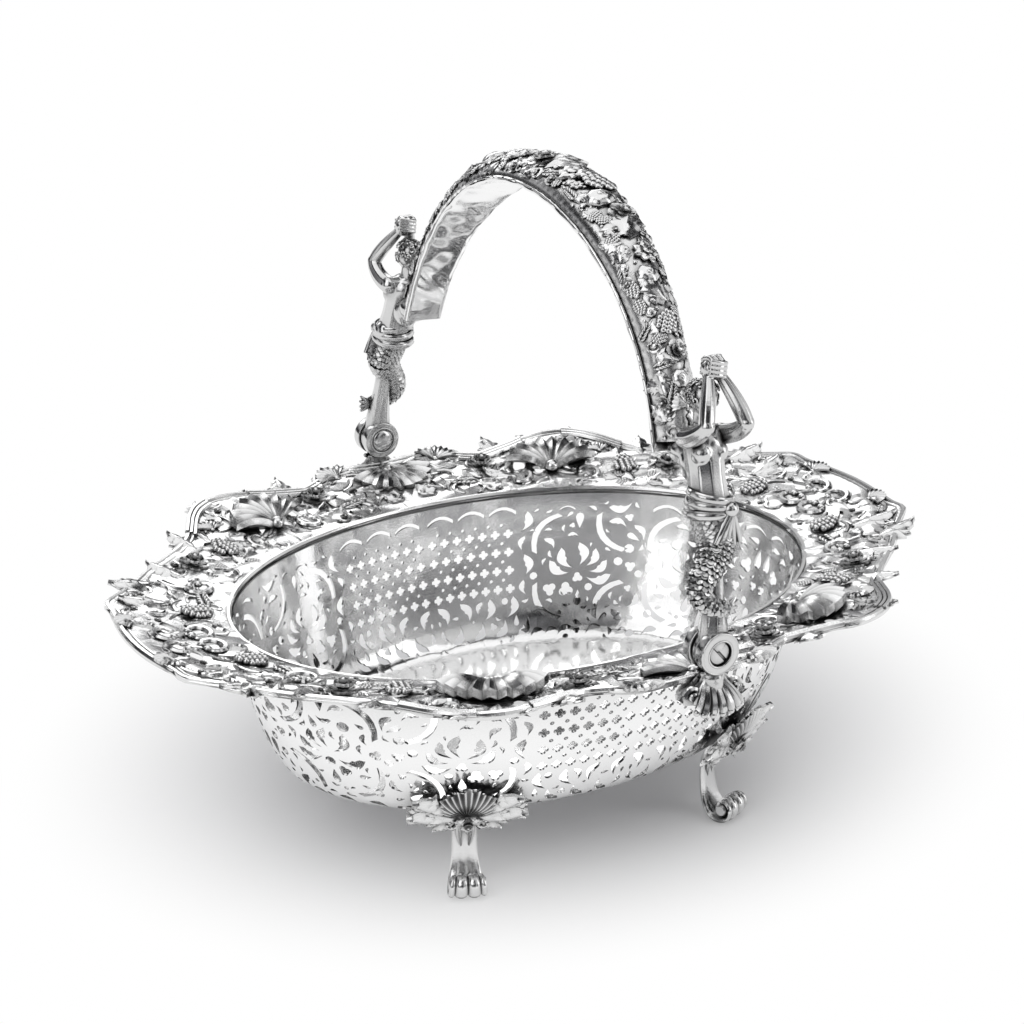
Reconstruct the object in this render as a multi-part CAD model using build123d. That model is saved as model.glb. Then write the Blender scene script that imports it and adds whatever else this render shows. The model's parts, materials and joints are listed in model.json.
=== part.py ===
from build123d import *
import os
from math import atan, atan2, cos, degrees, hypot, radians, sin, tan

# A pierced silver cake basket: a raised oval bowl with pierced walls, a cast openwork border, four
# shell feet, and an arched swing handle carried by two mermaid figures with their arms raised.
# X runs along the basket, Y across it and along the hinge axis, Z up, with the feet on Z = 0.

# Driving dimensions in millimetres
rim_length = 376.0
rim_width = 284.0
rim_underside = 107.7
bowl_base_height = 38.0
bowl_top_height = 108.0
bowl_base_half = (108.0, 71.0)
bowl_top_half = (138.0, 98.0)
bowl_belly = 0.4
sheet = 1.2
border_thickness = 2.4
border_rise = 0.2
border_reach = 66.0
hinge_height = 132.2
hinge_half_span = 144.0
barrel_radius = 9.0
barrel_half_length = 6.9
tongue_thickness = 2.4
side_clearance = 0.4
screw_radius = 2.0
screw_clearance = 0.05
handle_lean = 4.8
arch_centre = 40.0
arch_half_span = 109.0
arch_rise = 118.0
arch_end_angle = 16.0
strap_end_half_width = 9.0
strap_top_half_width = 17.0
strap_end_crown = 13.5
strap_top_crown = 9.5
liner_thickness = 1.2
strap_seat = 117.0
foot_place = (68.0, 58.0)
foot_turn = 61.6
rest_depth = 0.3
piercing_room = 4.0

os.makedirs("parts", exist_ok=True)


def skin(rings):
    """A solid of flat facets over rings of points that match one to one, with both ends closed."""
    facets = [make_face(Polyline(ring, close=True)).face() for ring in (rings[0], rings[-1])]
    for low, high in zip(rings, rings[1:]):
        for place in range(len(low)):
            after = (place + 1) % len(low)
            for corners in ((low[place], low[after], high[after]), (low[place], high[after], high[place])):
                facets.append(make_face(Polyline(corners, close=True)).face())
    return Solid(Shell(facets))


def oval_ring(half, depth, height, middle=0.0, sides=12):
    """The corners of an oval ring at a height, its middle moved along Y."""
    turns = [radians(360 * (side + 0.5) / sides) for side in range(sides)]
    return [(half * cos(turn), middle + depth * sin(turn), height) for turn in turns]


def bowl_half(height, axis):
    """Half the bowl's outer length or width at a height: a full belly that stands up to the rim."""
    share = max(0.0, (height - bowl_base_height) / (bowl_top_height - bowl_base_height))
    return bowl_base_half[axis] + (bowl_top_half[axis] - bowl_base_half[axis]) * share**bowl_belly


def oval_solid(heights, inset):
    """A solid oval that follows the bowl's wall, drawn in by the inset."""
    return skin([
        oval_ring(bowl_half(height, 0) - inset, bowl_half(height, 1) - inset, height, sides=72)
        for height in heights
    ])


def wall_plane(turn, height):
    """A plane on the wall, facing out, with its x along the wall and its y up."""
    along, across = bowl_half(height, 0), bowl_half(height, 1)
    point = (along * cos(radians(turn)), across * sin(radians(turn)), height)
    out = (cos(radians(turn)) / along, sin(radians(turn)) / across, 0)
    return Plane(origin=point, x_dir=(-out[1], out[0], 0), z_dir=out)


# The piercings are saw cuts straight through the wall, laid out on one quarter and mirrored.
def leaf_hole(length, turn=0):
    """A comma leaf: a fat head that curls to a point."""
    outline = [(-0.5, 0.16), (-0.3, -0.16), (0.1, -0.26), (0.5, 0.2), (0.0, 0.02)]
    points = [(length * along, length * across) for along, across in outline]
    return Rot(0, 0, turn) * make_face(Polyline(points, close=True))


def bar_hole(length, width, turn=0):
    return Rot(0, 0, turn) * Rectangle(length, width)


def cross_hole(size):
    return Rectangle(size, size / 3) + Rectangle(size / 3, size)


def pierce(sketch, turn, height):
    return extrude(wall_plane(turn, height) * sketch, piercing_room, both=True)


def panel_cuts():
    """The diaper panel at the middle of each side: crosses and lozenges in a staggered net."""
    cuts = []
    for row in range(4):
        for column in range(3 - row % 2):
            turn = 90 - 7 * (column + 0.5 * (row % 2))
            hole = bar_hole(4, 4, 45) if row % 2 else cross_hole(4.6)
            cuts.append(pierce(hole, turn, 60 + 10 * row))
    return cuts


def spray_cuts():
    """The leaf sprays, slanting bars and drops between the panel and the end of the bowl."""
    cuts = []
    for centre in (20, 50):
        for leaf in range(5):
            fan = -60 + 30 * leaf
            turn = centre + 9.5 * sin(radians(fan))
            cuts.append(pierce(leaf_hole(12, 90 - fan), turn, 61 + 12 * cos(radians(fan))))
        cuts.append(pierce(bar_hole(5, 2.4, 90), centre, 58))
    for place in range(6):
        turn = 6 + 10.5 * place
        slant = -35 if place % 2 else 35
        cuts.append(pierce(bar_hole(10, 2.8, slant), turn, 94))
        cuts.append(pierce(leaf_hole(9, 180 * (place % 2)), turn + 4, 50))
    return cuts


def flare(lift=0.0):
    """All that lies above the border's underside, or above a surface lifted off it."""
    low = rim_underside + lift
    high = low + border_rise * border_reach
    inner = Ellipse(bowl_top_half[0] - 2, bowl_top_half[1] - 2)
    outer = Ellipse(bowl_top_half[0] - 2 + border_reach, bowl_top_half[1] - 2 + border_reach)
    cone = loft([Plane.XY.offset(low) * inner, Plane.XY.offset(high) * outer], ruled=True)
    return cone + extrude(Plane.XY.offset(high) * outer, 40)


def bowl():
    """The bowl, raised from one sheet, and its outer form as a solid for seating the feet."""
    block = oval_solid((38, 39, 42, 50, 66, 86, 110), 0)
    inside = oval_solid((39.2, 40.2, 43, 50, 66, 86, 111), sheet)
    corner = Pos(100, 100, 75) * Box(200, 200, 100)
    quarter = ((block - inside) & corner) - above_underside - panel_cuts() - spray_cuts()
    half = quarter + mirror(quarter, about=Plane.YZ)
    return block, half + mirror(half, about=Plane.XZ)


def rim_wire():
    """The plain wire soldered in the angle under the border, round the top of the wall."""
    band = Ellipse(bowl_top_half[0] + 2.4, bowl_top_half[1] + 2.4)
    ring = extrude(Plane.XY.offset(bowl_top_height - 3.2) * band, 8)
    return ring - bowl_block - above_underside


# The border's pieces are laid out by a turn round the oval and a distance out from the wall.
def border_place(turn, out, lift=0.0):
    """A place on the border's top, lying with its slope, with its x pointing outwards."""
    slope = (cos(radians(turn)) / bowl_top_half[0], sin(radians(turn)) / bowl_top_half[1])
    size = hypot(*slope)
    along = bowl_top_half[0] * cos(radians(turn)) + slope[0] / size * out
    across = bowl_top_half[1] * sin(radians(turn)) + slope[1] / size * out
    height = rim_underside + border_thickness + border_rise * (out + 2) + lift
    facing = Rot(0, 0, degrees(atan2(slope[1], slope[0])))
    return Pos(along, across, height) * facing * Rot(0, -degrees(atan(border_rise)), 0)


def quarters(shape):
    """A piece of one quarter and its mirror images, named by where they lie."""
    left = mirror(shape, about=Plane.YZ)
    return {
        "back_right": shape,
        "back_left": left,
        "front_right": mirror(shape, about=Plane.XZ),
        "front_left": mirror(left, about=Plane.XZ),
    }


def rim_outline():
    """One quarter of the outline: side, corner lobe, hollow, shoulder, leaf tip and end."""
    side, end = rim_width / 2, rim_length / 2
    edges = [
        ThreePointArc((0, side), (27, side - 1), (48, side - 13)),
        ThreePointArc((48, side - 13), (86, side - 5), (112, side - 22)),
        ThreePointArc((112, side - 22), (125, side - 46), (149, side - 67)),
        ThreePointArc((149, side - 67), (161, side - 80), (end - 4, 42)),
        ThreePointArc((end - 4, 42), (end - 6, 24), (end, 0)),
    ]
    return make_face(edges + [Line((end, 0), (0, 0)), Line((0, 0), (0, side))])


def scroll_hole(length, turn):
    """An opening between two scrolls: a crescent with blunt ends."""
    outline = [(-0.5, 0.1), (-0.2, -0.3), (0.25, -0.3), (0.5, 0.1), (0.2, 0.28), (-0.15, 0.12)]
    points = [(length * along, length * across) for along, across in outline]
    return Rot(0, 0, turn) * make_face(Polyline(points, close=True))


def openwork(turns, rows):
    """The openings of one stretch of border, in staggered rows."""
    cuts = []
    for row, out in enumerate(rows):
        for count, turn in enumerate(turns):
            place = border_place(turn + 2.5 * (row % 2), out, -20)
            lean = 35 if (row + count) % 2 else -50
            cuts.append(extrude(place * scroll_hole(11 - row, lean), 40))
    return cuts


def border_sections():
    """The border is cast in four sections that meet under the corner shells."""
    well = Ellipse(bowl_top_half[0] - sheet, bowl_top_half[1] - sheet)
    plan = rim_outline() - well
    plate = (extrude(Plane.XY.offset(90) * plan, 60) & above_underside) - above_top
    seam = border_place(60, 90).position
    wedge = make_face(Polyline((0, 0), (seam.X, seam.Y), (0, seam.Y), close=True))
    side_wedge = extrude(Plane.XY.offset(80) * wedge, 80)
    side = (plate & side_wedge) - openwork((71, 79), (9, 22, 33))
    end = (plate - side_wedge) - openwork((8, 18, 28, 38, 48), (9, 21, 33))
    back = side + mirror(side, about=Plane.YZ)
    right = end + mirror(end, about=Plane.XZ)
    return plate, {
        "border_back": back,
        "border_front": mirror(back, about=Plane.XZ),
        "border_right": right,
        "border_left": mirror(right, about=Plane.YZ),
    }


def shell_section(reach, ribs, span, slope, depth):
    """The comb-shaped section of a shell at a reach from its root, on a block of a given depth."""
    side = reach * tan(radians(span / 2))
    comb = [(reach, side, -depth), (reach, -side, -depth)]
    for step in range(2 * ribs + 1):
        across = reach * tan(radians(span * step / (2 * ribs) - span / 2))
        comb.append((reach, across, 0.5 + reach * slope * (1 if step % 2 else 0.4)))
    return comb


def fan(ribs, span, radius, height, depth):
    """A scallop shell: ribs that spread and rise from the origin about the X axis to a round edge."""
    shell = skin([shell_section(reach, ribs, span, height / radius, depth) for reach in (1, radius)])
    disc = extrude(Pos(0, 0, -2 * depth) * RegularPolygon(radius, 30), 3 * depth + 2 * height)
    return shell & disc


def rose(radius):
    """An open rose: three tiers of five petals."""
    flower = None
    for tier, (share, low, high) in enumerate(((1.0, -8, 1.6), (0.68, 1.6, 3.0), (0.36, 3.0, 4.4))):
        wide = Pos(0, 0, low) * Rot(0, 0, 36 * tier) * RegularPolygon(radius * share, 5)
        narrow = Pos(0, 0, high) * Rot(0, 0, 36 * tier) * RegularPolygon(radius * share * 0.84, 5)
        petals = loft([wide, narrow], ruled=True)
        flower = petals if flower is None else flower + petals
    return flower


def grapes(size):
    """A bunch of grapes, six to the bunch, three rows long."""
    bunch = None
    for row in range(3):
        for berry in range(3 - row):
            place = Pos(row * size * 0.85, (berry - (2 - row) / 2) * size, 0)
            sizes = [(0.55, -8), (0.58, 1.4), (0.25, 3.6)]
            grape = place * skin([oval_ring(size * r, size * r, z, sides=6) for r, z in sizes])
            bunch = grape if bunch is None else bunch + grape
    return bunch


def leaf(length, width, ridge, depth):
    """An acanthus leaf with a raised rib, pointing along X."""
    rim = [(0, 0), (length * 0.35, width / 2), (length * 0.6, width * 0.4), (length, 0),
           (length * 0.6, -width * 0.4), (length * 0.35, -width / 2)]
    points = [(x, y, z) for x, y in rim for z in (-depth, 0.5)] + [(length * 0.4, 0, ridge)]
    return ConvexPolyhedron(points)


def seated(pieces):
    """The part of each piece that stands on the border's top, as one group of solids."""
    return Compound(children=[solid for piece in pieces for solid in (piece & above_top).solids()])


def spread(piece, places):
    """Copies of a border piece at its places of one quarter, mirrored to the other three."""
    copies = []
    for place in places:
        copies += quarters(place * piece).values()
    return copies


def hinge_lug():
    """The lug on the back rim: a pedestal, the tongue with its eye, and a fluted drop."""
    saddle = hinge_height - barrel_radius - 0.5
    low, high = oval_ring(15, 11, 112, hinge_half_span - 2, 8), oval_ring(10, 9, saddle, hinge_half_span, 8)
    pedestal = skin([low, high])
    drop = Pos(0, hinge_half_span, 121) * Rot(0, 0, 90) * Rot(0, 80, 0) * fan(5, 80, 19, 4, 4)
    across = Plane(origin=(0, hinge_half_span, hinge_height), x_dir=(1, 0, 0), z_dir=(0, -1, 0))
    eye = Circle(barrel_radius - 0.8) + Pos(0, -barrel_radius) * Rectangle(9, 2 * barrel_radius)
    eye -= Circle(screw_radius + screw_clearance)
    tongue = extrude(across * eye, tongue_thickness / 2, both=True)
    border = plate_corner + mirror(plate_corner, about=Plane.YZ)
    return pedestal + drop + tongue - border


def hinge_shell():
    """The scallop that covers the foot of the lug on the border's top."""
    shell = border_place(90, 36) * Rot(0, 0, 180) * fan(7, 120, 21, 6, 8)
    return (shell & above_top) - lug


# The foot is built with its X pointing straight out from the wall, then set on its quarter.
def foot_leg():
    """A C-curved strap that runs from the wall to a toe rolled outwards."""
    down = ThreePointArc((1, 46), (-5, 24), (-1, 8))
    sole = ThreePointArc((-1, 8), (2.4, 2.4), (8, 1.3))
    toe = ThreePointArc((8, 1.3), (13.4, 5.4), (9.6, 10.4))
    path = Plane.XZ * Wire([down, sole, toe])
    section = Plane(origin=path @ 0, x_dir=(0, 1, 0), z_dir=path % 0) * Rectangle(10, 2.6)
    strap = sweep(section, path=path)
    roll = Pos(8.5, 0, 6.4) * Rot(90, 0, 0) * Cylinder(3.4, 13)
    above_floor = Pos(0, 0, 50 + rest_depth) * Box(60, 40, 100)
    return Pos(0, 0, -rest_depth) * ((strap + roll) & above_floor)


def foot_shell():
    """The scallop and leaf spray at the head of the leg."""
    scallop = fan(7, 130, 22, 6, 8)
    sprays = [Pos(4, side, 0) * Rot(0, 0, side * 76) * leaf(26, 12, 3.5, 5) for side in (1, -1)]
    head = scallop + sprays[0] + sprays[1]
    return Pos(6, 0, 41) * Rot(0, -62, 0) * Rot(180, 0, 0) * head


# The handle is modelled upright with the hinge axis at Z = 0; outward is +Y at its back end.
def arch_frame(angle):
    """The section plane of the strap at an angle round its arch, with y pointing outwards."""
    place = (0, arch_half_span * cos(radians(angle)), arch_centre + arch_rise * sin(radians(angle)))
    out = (0, cos(radians(angle)) / arch_half_span, sin(radians(angle)) / arch_rise)
    size = hypot(out[1], out[2])
    along = (0, -out[2] / size, out[1] / size)
    return Plane(origin=place, x_dir=(1, 0, 0), z_dir=along)


def arch_angles():
    return [arch_end_angle + (180 - 2 * arch_end_angle) * step / 24 for step in range(25)]


def strap_half_width(angle):
    return strap_end_half_width + (strap_top_half_width - strap_end_half_width) * sin(radians(angle)) ** 3


def strap_crown(angle):
    return strap_end_crown + (strap_top_crown - strap_end_crown) * sin(radians(angle))


def handle_strap():
    """The strap's domed outer half, hollow work in the real one, from one figure to the other."""
    sections = []
    for angle in arch_angles():
        half, crown = strap_half_width(angle), strap_crown(angle)
        dome = [(half * cos(radians(turn)), crown * sin(radians(turn))) for turn in range(0, 181, 20)]
        sections.append([arch_frame(angle).from_local_coords(Vector(x, y)) for x, y in dome])
    seat = Pos(0, 0, 100) * Box(60, 2 * strap_seat, 200)
    return skin(sections) & seat


def handle_liner():
    """The plain polished lining that closes the strap's hollow side."""
    sections = []
    for angle in arch_angles():
        half = strap_half_width(angle)
        strip = [(half, 0), (-half, 0), (-half, -liner_thickness), (half, -liner_thickness)]
        sections.append([arch_frame(angle).from_local_coords(Vector(x, y)) for x, y in strip])
    return skin(sections)


def tube(route):
    """A tapered round body through points, each given with its radius."""
    path = Spline(*[Vector(*place[:3]) for place in route])
    rings = []
    for *point, radius in route:
        along = path % path.param_at_point(Vector(*point))
        level = Vector(0, 1, 0) - along * along.Y
        frame = Plane(origin=Vector(*point), x_dir=level, z_dir=along)
        rings.append([frame.from_local_coords(Vector(*corner)) for corner in oval_ring(radius, radius, 0)])
    return skin(rings)


def figure():
    """The torso and head, leaning back to the strap."""
    rings = [(133, 57, 8.5, 8), (130, 66, 8.5, 7), (124.5, 76, 10.5, 8), (123, 82, 11, 6.5),
             (122, 86, 5, 4.5), (121.5, 94, 4, 4)]
    torso = skin([oval_ring(half, depth, z, y, 16) for y, z, half, depth in rings])
    head = tube([(0, 121.5, rise, radius) for rise, radius in
                 ((91.4, 3.5), (94.5, 6), (98, 7), (101.5, 6), (104.6, 2.5))])
    sash = None
    for band in range(3):
        ring = [(-2.2, 9.6), (0, 12), (2.2, 9.6)]
        roll = skin([oval_ring(half, half, rise) for rise, half in ring])
        roll = Pos(0, 133, 54 + 3.6 * band) * Rot(-8, 10, 0) * roll
        sash = roll if sash is None else sash + roll
    knot = Pos(-7, 141.5, 57) * Rot(-20, 95, 0) * leaf(20, 10, 4, 3)
    back = Pos(0, strap_seat + 50, 80) * Box(80, 100, 160)
    return (torso + head + sash + knot) & back


def figure_arms():
    """Both arms, elbows out, with the hands clasped above the head."""
    upper = [(8.5, 124, 81.5, 4.2), (10, 131, 84, 3.8), (10.2, 138, 90.5, 3.5)]
    fore = [(7, 134.5, 99.5, 3.2), (2.6, 128, 107, 2.5)]
    right = tube(upper + fore)
    hands = tube([(0, 126.5, rise, radius) for rise, radius in
                  ((103.5, 2), (106, 5), (110, 5.8), (114, 4.6), (116, 2))])
    return hands + right + mirror(right, about=Plane.YZ)


def figure_tail():
    """The scaly tail round its stem, ending in the forked barrel of the hinge."""
    rings = [(144, 4, 6.5, 6.4), (143.5, 12, 6, 5.5), (141, 24, 4, 4), (136.5, 50, 4, 4)]
    stem = skin([oval_ring(half, depth, z, y, 16) for y, z, half, depth in rings])
    scales = [(0, 134, 53, 8.4), (-2.5, 137, 43, 7.6), (2, 141, 35, 6), (7.5, 142.5, 28.5, 5)]
    fin = [(7.5, 143, 22.5, 4.2), (2, 145, 18, 3.2), (-4, 145, 16.5, 2.2), (-9, 143.5, 18.5, 1)]
    across = Pos(0, hinge_half_span, 0) * Rot(90, 0, 0)
    barrel = across * Cylinder(barrel_radius, 2 * barrel_half_length)
    gap = across * Cylinder(barrel_radius + 1.2, tongue_thickness + 2 * side_clearance)
    outer_face = hinge_half_span + barrel_half_length
    recess = Pos(0, outer_face, 0) * Rot(90, 0, 0) * Cylinder(5.3, 4.4)
    bore = Pos(0, outer_face, 0) * Rot(90, 0, 0) * Cylinder(screw_radius, 4 * barrel_half_length - 2.8)
    return stem + tube(scales + fin) + barrel - gap - recess - bore


def hinge_screw():
    """The slotted screw, its head sunk in the outer disc of the barrel."""
    outer_face = hinge_half_span + barrel_half_length
    under_head = outer_face - 2.2
    tip = outer_face - 2 * barrel_half_length + 1.4
    shank = Pos(0, (under_head + tip) / 2, 0) * Rot(90, 0, 0) * Cylinder(screw_radius, under_head - tip)
    head = Pos(0, under_head + 0.7, 0) * Rot(90, 0, 0) * Cylinder(4.7, 1.4)
    slot = Pos(0, under_head + 1.4, 0) * Rot(0, 45, 0) * Box(1.1, 1.4, 12)
    return shank + head - slot


def write(shape, name):
    export_step(shape, f"parts/{name}.step")


above_underside = flare()
above_top = flare(border_thickness)
bowl_block, bowl_sheet = bowl()
write(bowl_sheet, "bowl")
write(rim_wire(), "rim_wire")
plate_corner, sections = border_sections()
for name, section in sections.items():
    write(section, name)

corner = (border_place(60, 15) * fan(9, 130, 26, 8, 10)) & above_top
for name, shell in quarters(corner).items():
    write(shell, f"corner_shell_{name}")
write(seated(spread(rose(8), [border_place(73, 27), border_place(36, 24)])), "border_roses")
write(seated(spread(grapes(5), [border_place(45, 18), border_place(14, 12)])), "grape_bunches")
write(seated(spread(leaf(26, 14, 4, 8), [border_place(17, 24), border_place(30, 22)])), "tip_leaves")

lug = hinge_lug()
back_pieces = {"hinge_lug": lug, "hinge_shell": hinge_shell()}
for name, piece in back_pieces.items():
    write(piece, f"{name}_back")
    write(Rot(0, 0, 180) * piece, f"{name}_front")

foot_at = Pos(*foot_place) * Rot(0, 0, foot_turn)
shell_piece = (foot_at * foot_shell()) - bowl_block
leg_piece = (foot_at * foot_leg()) - bowl_block - shell_piece
for name, leg in quarters(leg_piece).items():
    write(leg, f"foot_leg_{name}")
for name, shell in quarters(shell_piece).items():
    write(shell, f"foot_shell_{name}")

to_rest = Pos(0, 0, hinge_height) * Rot(0, handle_lean, 0)
write(to_rest * handle_strap(), "handle_strap")
write(to_rest * handle_liner(), "handle_liner")
body = figure()
tail = figure_tail() - body
figure_pieces = {
    "figure": body,
    "figure_arms": figure_arms() - body,
    "figure_tail": tail,
    "hinge_screw": hinge_screw(),
}
for name, piece in figure_pieces.items():
    write(to_rest * piece, f"{name}_back")
    write(to_rest * Rot(0, 0, 180) * piece, f"{name}_front")
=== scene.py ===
# %% [markdown]
# # A pierced silver cake basket
# The model from the CAD step comes in as a fixed frame: every node has its real size and place,
# and rides on one of two bodies, the basket or the handle. This lesson dresses that frame with
# the chased, cast and pierced silver of the real thing. It starts by loading the frame.

# %% Load the frame
import json
import random
from math import asin, atan2, cos, degrees, hypot, pi, radians, sin

import bmesh
import bpy
import numpy as np
from mathutils import Matrix, Vector
from mathutils.bvhtree import BVHTree
from mathutils.geometry import delaunay_2d_cdt

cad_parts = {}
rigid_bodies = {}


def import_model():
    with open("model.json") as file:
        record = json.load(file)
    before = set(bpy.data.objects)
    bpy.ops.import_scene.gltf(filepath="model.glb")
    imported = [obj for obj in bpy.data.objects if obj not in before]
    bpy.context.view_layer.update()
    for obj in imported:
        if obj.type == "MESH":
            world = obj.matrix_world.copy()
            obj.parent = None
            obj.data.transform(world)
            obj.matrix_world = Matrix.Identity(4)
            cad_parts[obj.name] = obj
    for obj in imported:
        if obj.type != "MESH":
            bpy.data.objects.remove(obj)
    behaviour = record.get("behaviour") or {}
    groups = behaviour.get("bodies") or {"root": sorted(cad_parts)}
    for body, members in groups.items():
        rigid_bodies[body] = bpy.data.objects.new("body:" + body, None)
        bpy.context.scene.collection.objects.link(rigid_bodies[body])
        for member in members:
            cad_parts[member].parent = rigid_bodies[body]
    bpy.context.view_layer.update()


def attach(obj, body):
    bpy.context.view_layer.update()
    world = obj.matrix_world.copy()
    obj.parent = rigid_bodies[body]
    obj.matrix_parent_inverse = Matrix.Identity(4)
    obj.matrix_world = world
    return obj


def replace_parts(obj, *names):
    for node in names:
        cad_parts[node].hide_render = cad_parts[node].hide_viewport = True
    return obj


for piece in list(bpy.data.objects):
    bpy.data.objects.remove(piece)
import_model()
MM = 0.001
chance = random.Random(7)

# %% [markdown]
# Small helpers keep every later cell short. An operator works on all that is selected, so
# `only` picks exactly one piece first. `outwards` turns the faces outwards, `smooth` smooths by
# angle, and `take_active` applies a new object's transform, so that its place is in its mesh.

# %% Helpers for pieces
def only(piece):
    """Makes one piece the active and only selected object."""
    if bpy.context.object and bpy.context.object.mode != "OBJECT":
        bpy.ops.object.mode_set(mode="OBJECT")
    bpy.ops.object.select_all(action="DESELECT")
    piece.select_set(True)
    bpy.context.view_layer.objects.active = piece
    return piece


def mesh_piece(name, points, faces):
    """A new object from points in millimetres and faces."""
    mesh = bpy.data.meshes.new(name)
    mesh.from_pydata([tuple(c * MM for c in p) for p in points], [], faces)
    piece = bpy.data.objects.new(name, mesh)
    bpy.context.collection.objects.link(piece)
    return only(piece)


def take_active(name):
    piece = bpy.context.object
    piece.name = name
    bpy.ops.object.transform_apply(location=True, rotation=True, scale=True)
    return piece


def edit(piece, *steps):
    """Runs edit-mode operators on the whole mesh."""
    only(piece)
    bpy.ops.object.mode_set(mode="EDIT")
    bpy.ops.mesh.select_all(action="SELECT")
    for step, settings in steps:
        step(**settings)
    bpy.ops.object.mode_set(mode="OBJECT")
    return piece


def modify(piece, kind, **settings):
    """Adds a modifier and applies it."""
    only(piece)
    modifier = piece.modifiers.new(kind, kind)
    for key, value in settings.items():
        setattr(modifier, key, value)
    bpy.ops.object.modifier_apply(modifier=modifier.name)
    return piece


def select_rim(piece, test=lambda e: True):
    """Selects the open edges that pass a test, in edit mode."""
    bpy.ops.mesh.select_mode(type="EDGE")
    bpy.ops.mesh.select_all(action="DESELECT")
    bm = bmesh.from_edit_mesh(piece.data)
    for e in bm.edges:
        if e.is_boundary and test(e):
            e.select = True
    bmesh.update_edit_mesh(piece.data)


def corners(piece):
    """The mesh's points as an array in millimetres."""
    co = np.empty(len(piece.data.vertices) * 3)
    piece.data.vertices.foreach_get("co", co)
    return co.reshape(-1, 3) / MM


def put_corners(piece, points):
    piece.data.vertices.foreach_set("co", (np.asarray(points) * MM).ravel())
    piece.data.update()
    return piece


def join(pieces, name):
    only(pieces[0])
    for piece in pieces:
        piece.select_set(True)
    bpy.ops.object.join()
    pieces[0].name = name
    pieces[0].data.name = name
    return pieces[0]


def copy_of(piece, change=None):
    """A copy with its own mesh, its points changed by a function of the array."""
    twin = piece.copy()
    twin.data = piece.data.copy()
    bpy.context.collection.objects.link(twin)
    if change:
        put_corners(twin, change(corners(twin)))
    return twin


def outwards(piece):
    return edit(piece, (bpy.ops.mesh.normals_make_consistent, {"inside": False}))


def smooth(piece, angle=40):
    only(piece)
    bpy.ops.object.shade_smooth_by_angle(angle=radians(angle))
    return piece


def drop(*pieces):
    for piece in pieces:
        bpy.data.objects.remove(piece)


print("helpers ready")

# %% [markdown]
# The bowl is raised from one sheet of silver and then pierced with a fret saw. Cutting hundreds
# of holes with booleans is slow and fragile. It is easier to draw one quarter of the wall flat,
# as a flat mesh of its outline with the holes left open, to slice it into small cells with
# bisect, and only then to bend it round the oval. First come the oval's own measures.

# %% The bowl's form
BASE_Z, TOP_Z = 38.0, 108.0
BASE_HALF, TOP_HALF = (108.0, 71.0), (138.0, 98.0)
BELLY = 0.4
SHEET = 1.2
TURNS = np.radians(np.linspace(0, 90, 361))


def lengths(points):
    """The running length along a row of points."""
    steps = np.linalg.norm(np.diff(points, axis=0), axis=1)
    return np.concatenate([[0], np.cumsum(steps)])


def wall_half(z, axis):
    share = np.clip((z - BASE_Z) / (TOP_Z - BASE_Z), 0, 1) ** BELLY
    return BASE_HALF[axis] + (TOP_HALF[axis] - BASE_HALF[axis]) * share


wall_heights = BASE_Z + (TOP_Z - BASE_Z) * np.linspace(0, 1, 200) ** 2.5
wall_profile = lengths(np.stack([(wall_half(wall_heights, 0) + wall_half(wall_heights, 1)) / 2,
                                 wall_heights], 1))
WALL_RISE = wall_profile[-1]
wall_arc = lengths(np.stack([124 * np.cos(TURNS), 86 * np.sin(TURNS)], 1))
QUARTER = wall_arc[-1]


def on_wall(flat):
    """Bends flat points (along the quarter, up the wall) round the outside of the bowl."""
    turn = np.interp(flat[:, 0], wall_arc, TURNS)
    z = np.interp(flat[:, 1], wall_profile, wall_heights)
    return np.stack([wall_half(z, 0) * np.cos(turn), wall_half(z, 1) * np.sin(turn), z], 1)


print("quarter of the wall:", round(QUARTER), "by", round(WALL_RISE), "mm")

# %% [markdown]
# The saw cuts have a small vocabulary: comma leaves with a notched head, bent bars, volutes,
# drops, dots, and the crosses of the diaper panels. Each one is a closed outline of unit
# length. A cut that would come too near another one is made smaller, or left out, so that
# the bars of metal between them are never thinner than the real ones.

# %% Outlines of the saw cuts
def bent(points, bend):
    """Bends an outline along an arc: bend is its rise for a unit length."""
    points = np.array(points, float)
    points[:, 1] += bend * (1 - 4 * points[:, 0] ** 2)
    return points


def comma_cut():
    share = np.linspace(0, 1, 11)
    width = 0.17 * np.sin(pi * share ** 1.5) ** 0.8
    notch = 1 + 0.45 * np.abs(np.sin(3.2 * pi * share)) * (share > 0.45)
    over = np.stack([share - 0.5, width], 1)
    under = np.stack([share - 0.5, -width * notch], 1)[::-1][1:-1]
    return bent(np.concatenate([over, under]), 0.24)


def bar_cut(width=0.17, bend=0.12):
    share = np.linspace(-0.5, 0.5, 7)
    over = np.stack([share, np.full(7, width / 2)], 1)
    return bent(np.concatenate([over, over[::-1] * (1, -1)]), bend)


def volute_cut():
    angle = np.linspace(-0.4, 3.6, 12)
    outer = np.stack([0.42 * np.cos(angle), 0.42 * np.sin(angle)], 1)
    inner = np.stack([0.26 * np.cos(angle), 0.26 * np.sin(angle)], 1)[::-1]
    bulb_centre = 0.30 * np.array([cos(3.75), sin(3.75)])
    bulb = [bulb_centre + 0.17 * np.array([cos(a), sin(a)]) for a in np.linspace(3.2, 7.4, 8)]
    return np.concatenate([outer, bulb, inner[1:]])


def drop_cut():
    angle = np.linspace(0, 2 * pi, 13)[:-1]
    return np.stack([0.5 * np.cos(angle), 0.2 * np.sin(angle) * (1 - 0.75 * np.cos(angle))], 1)


def round_cut():
    angle = np.linspace(0, 2 * pi, 9)[:-1]
    return 0.5 * np.stack([np.cos(angle), np.sin(angle)], 1)


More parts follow.
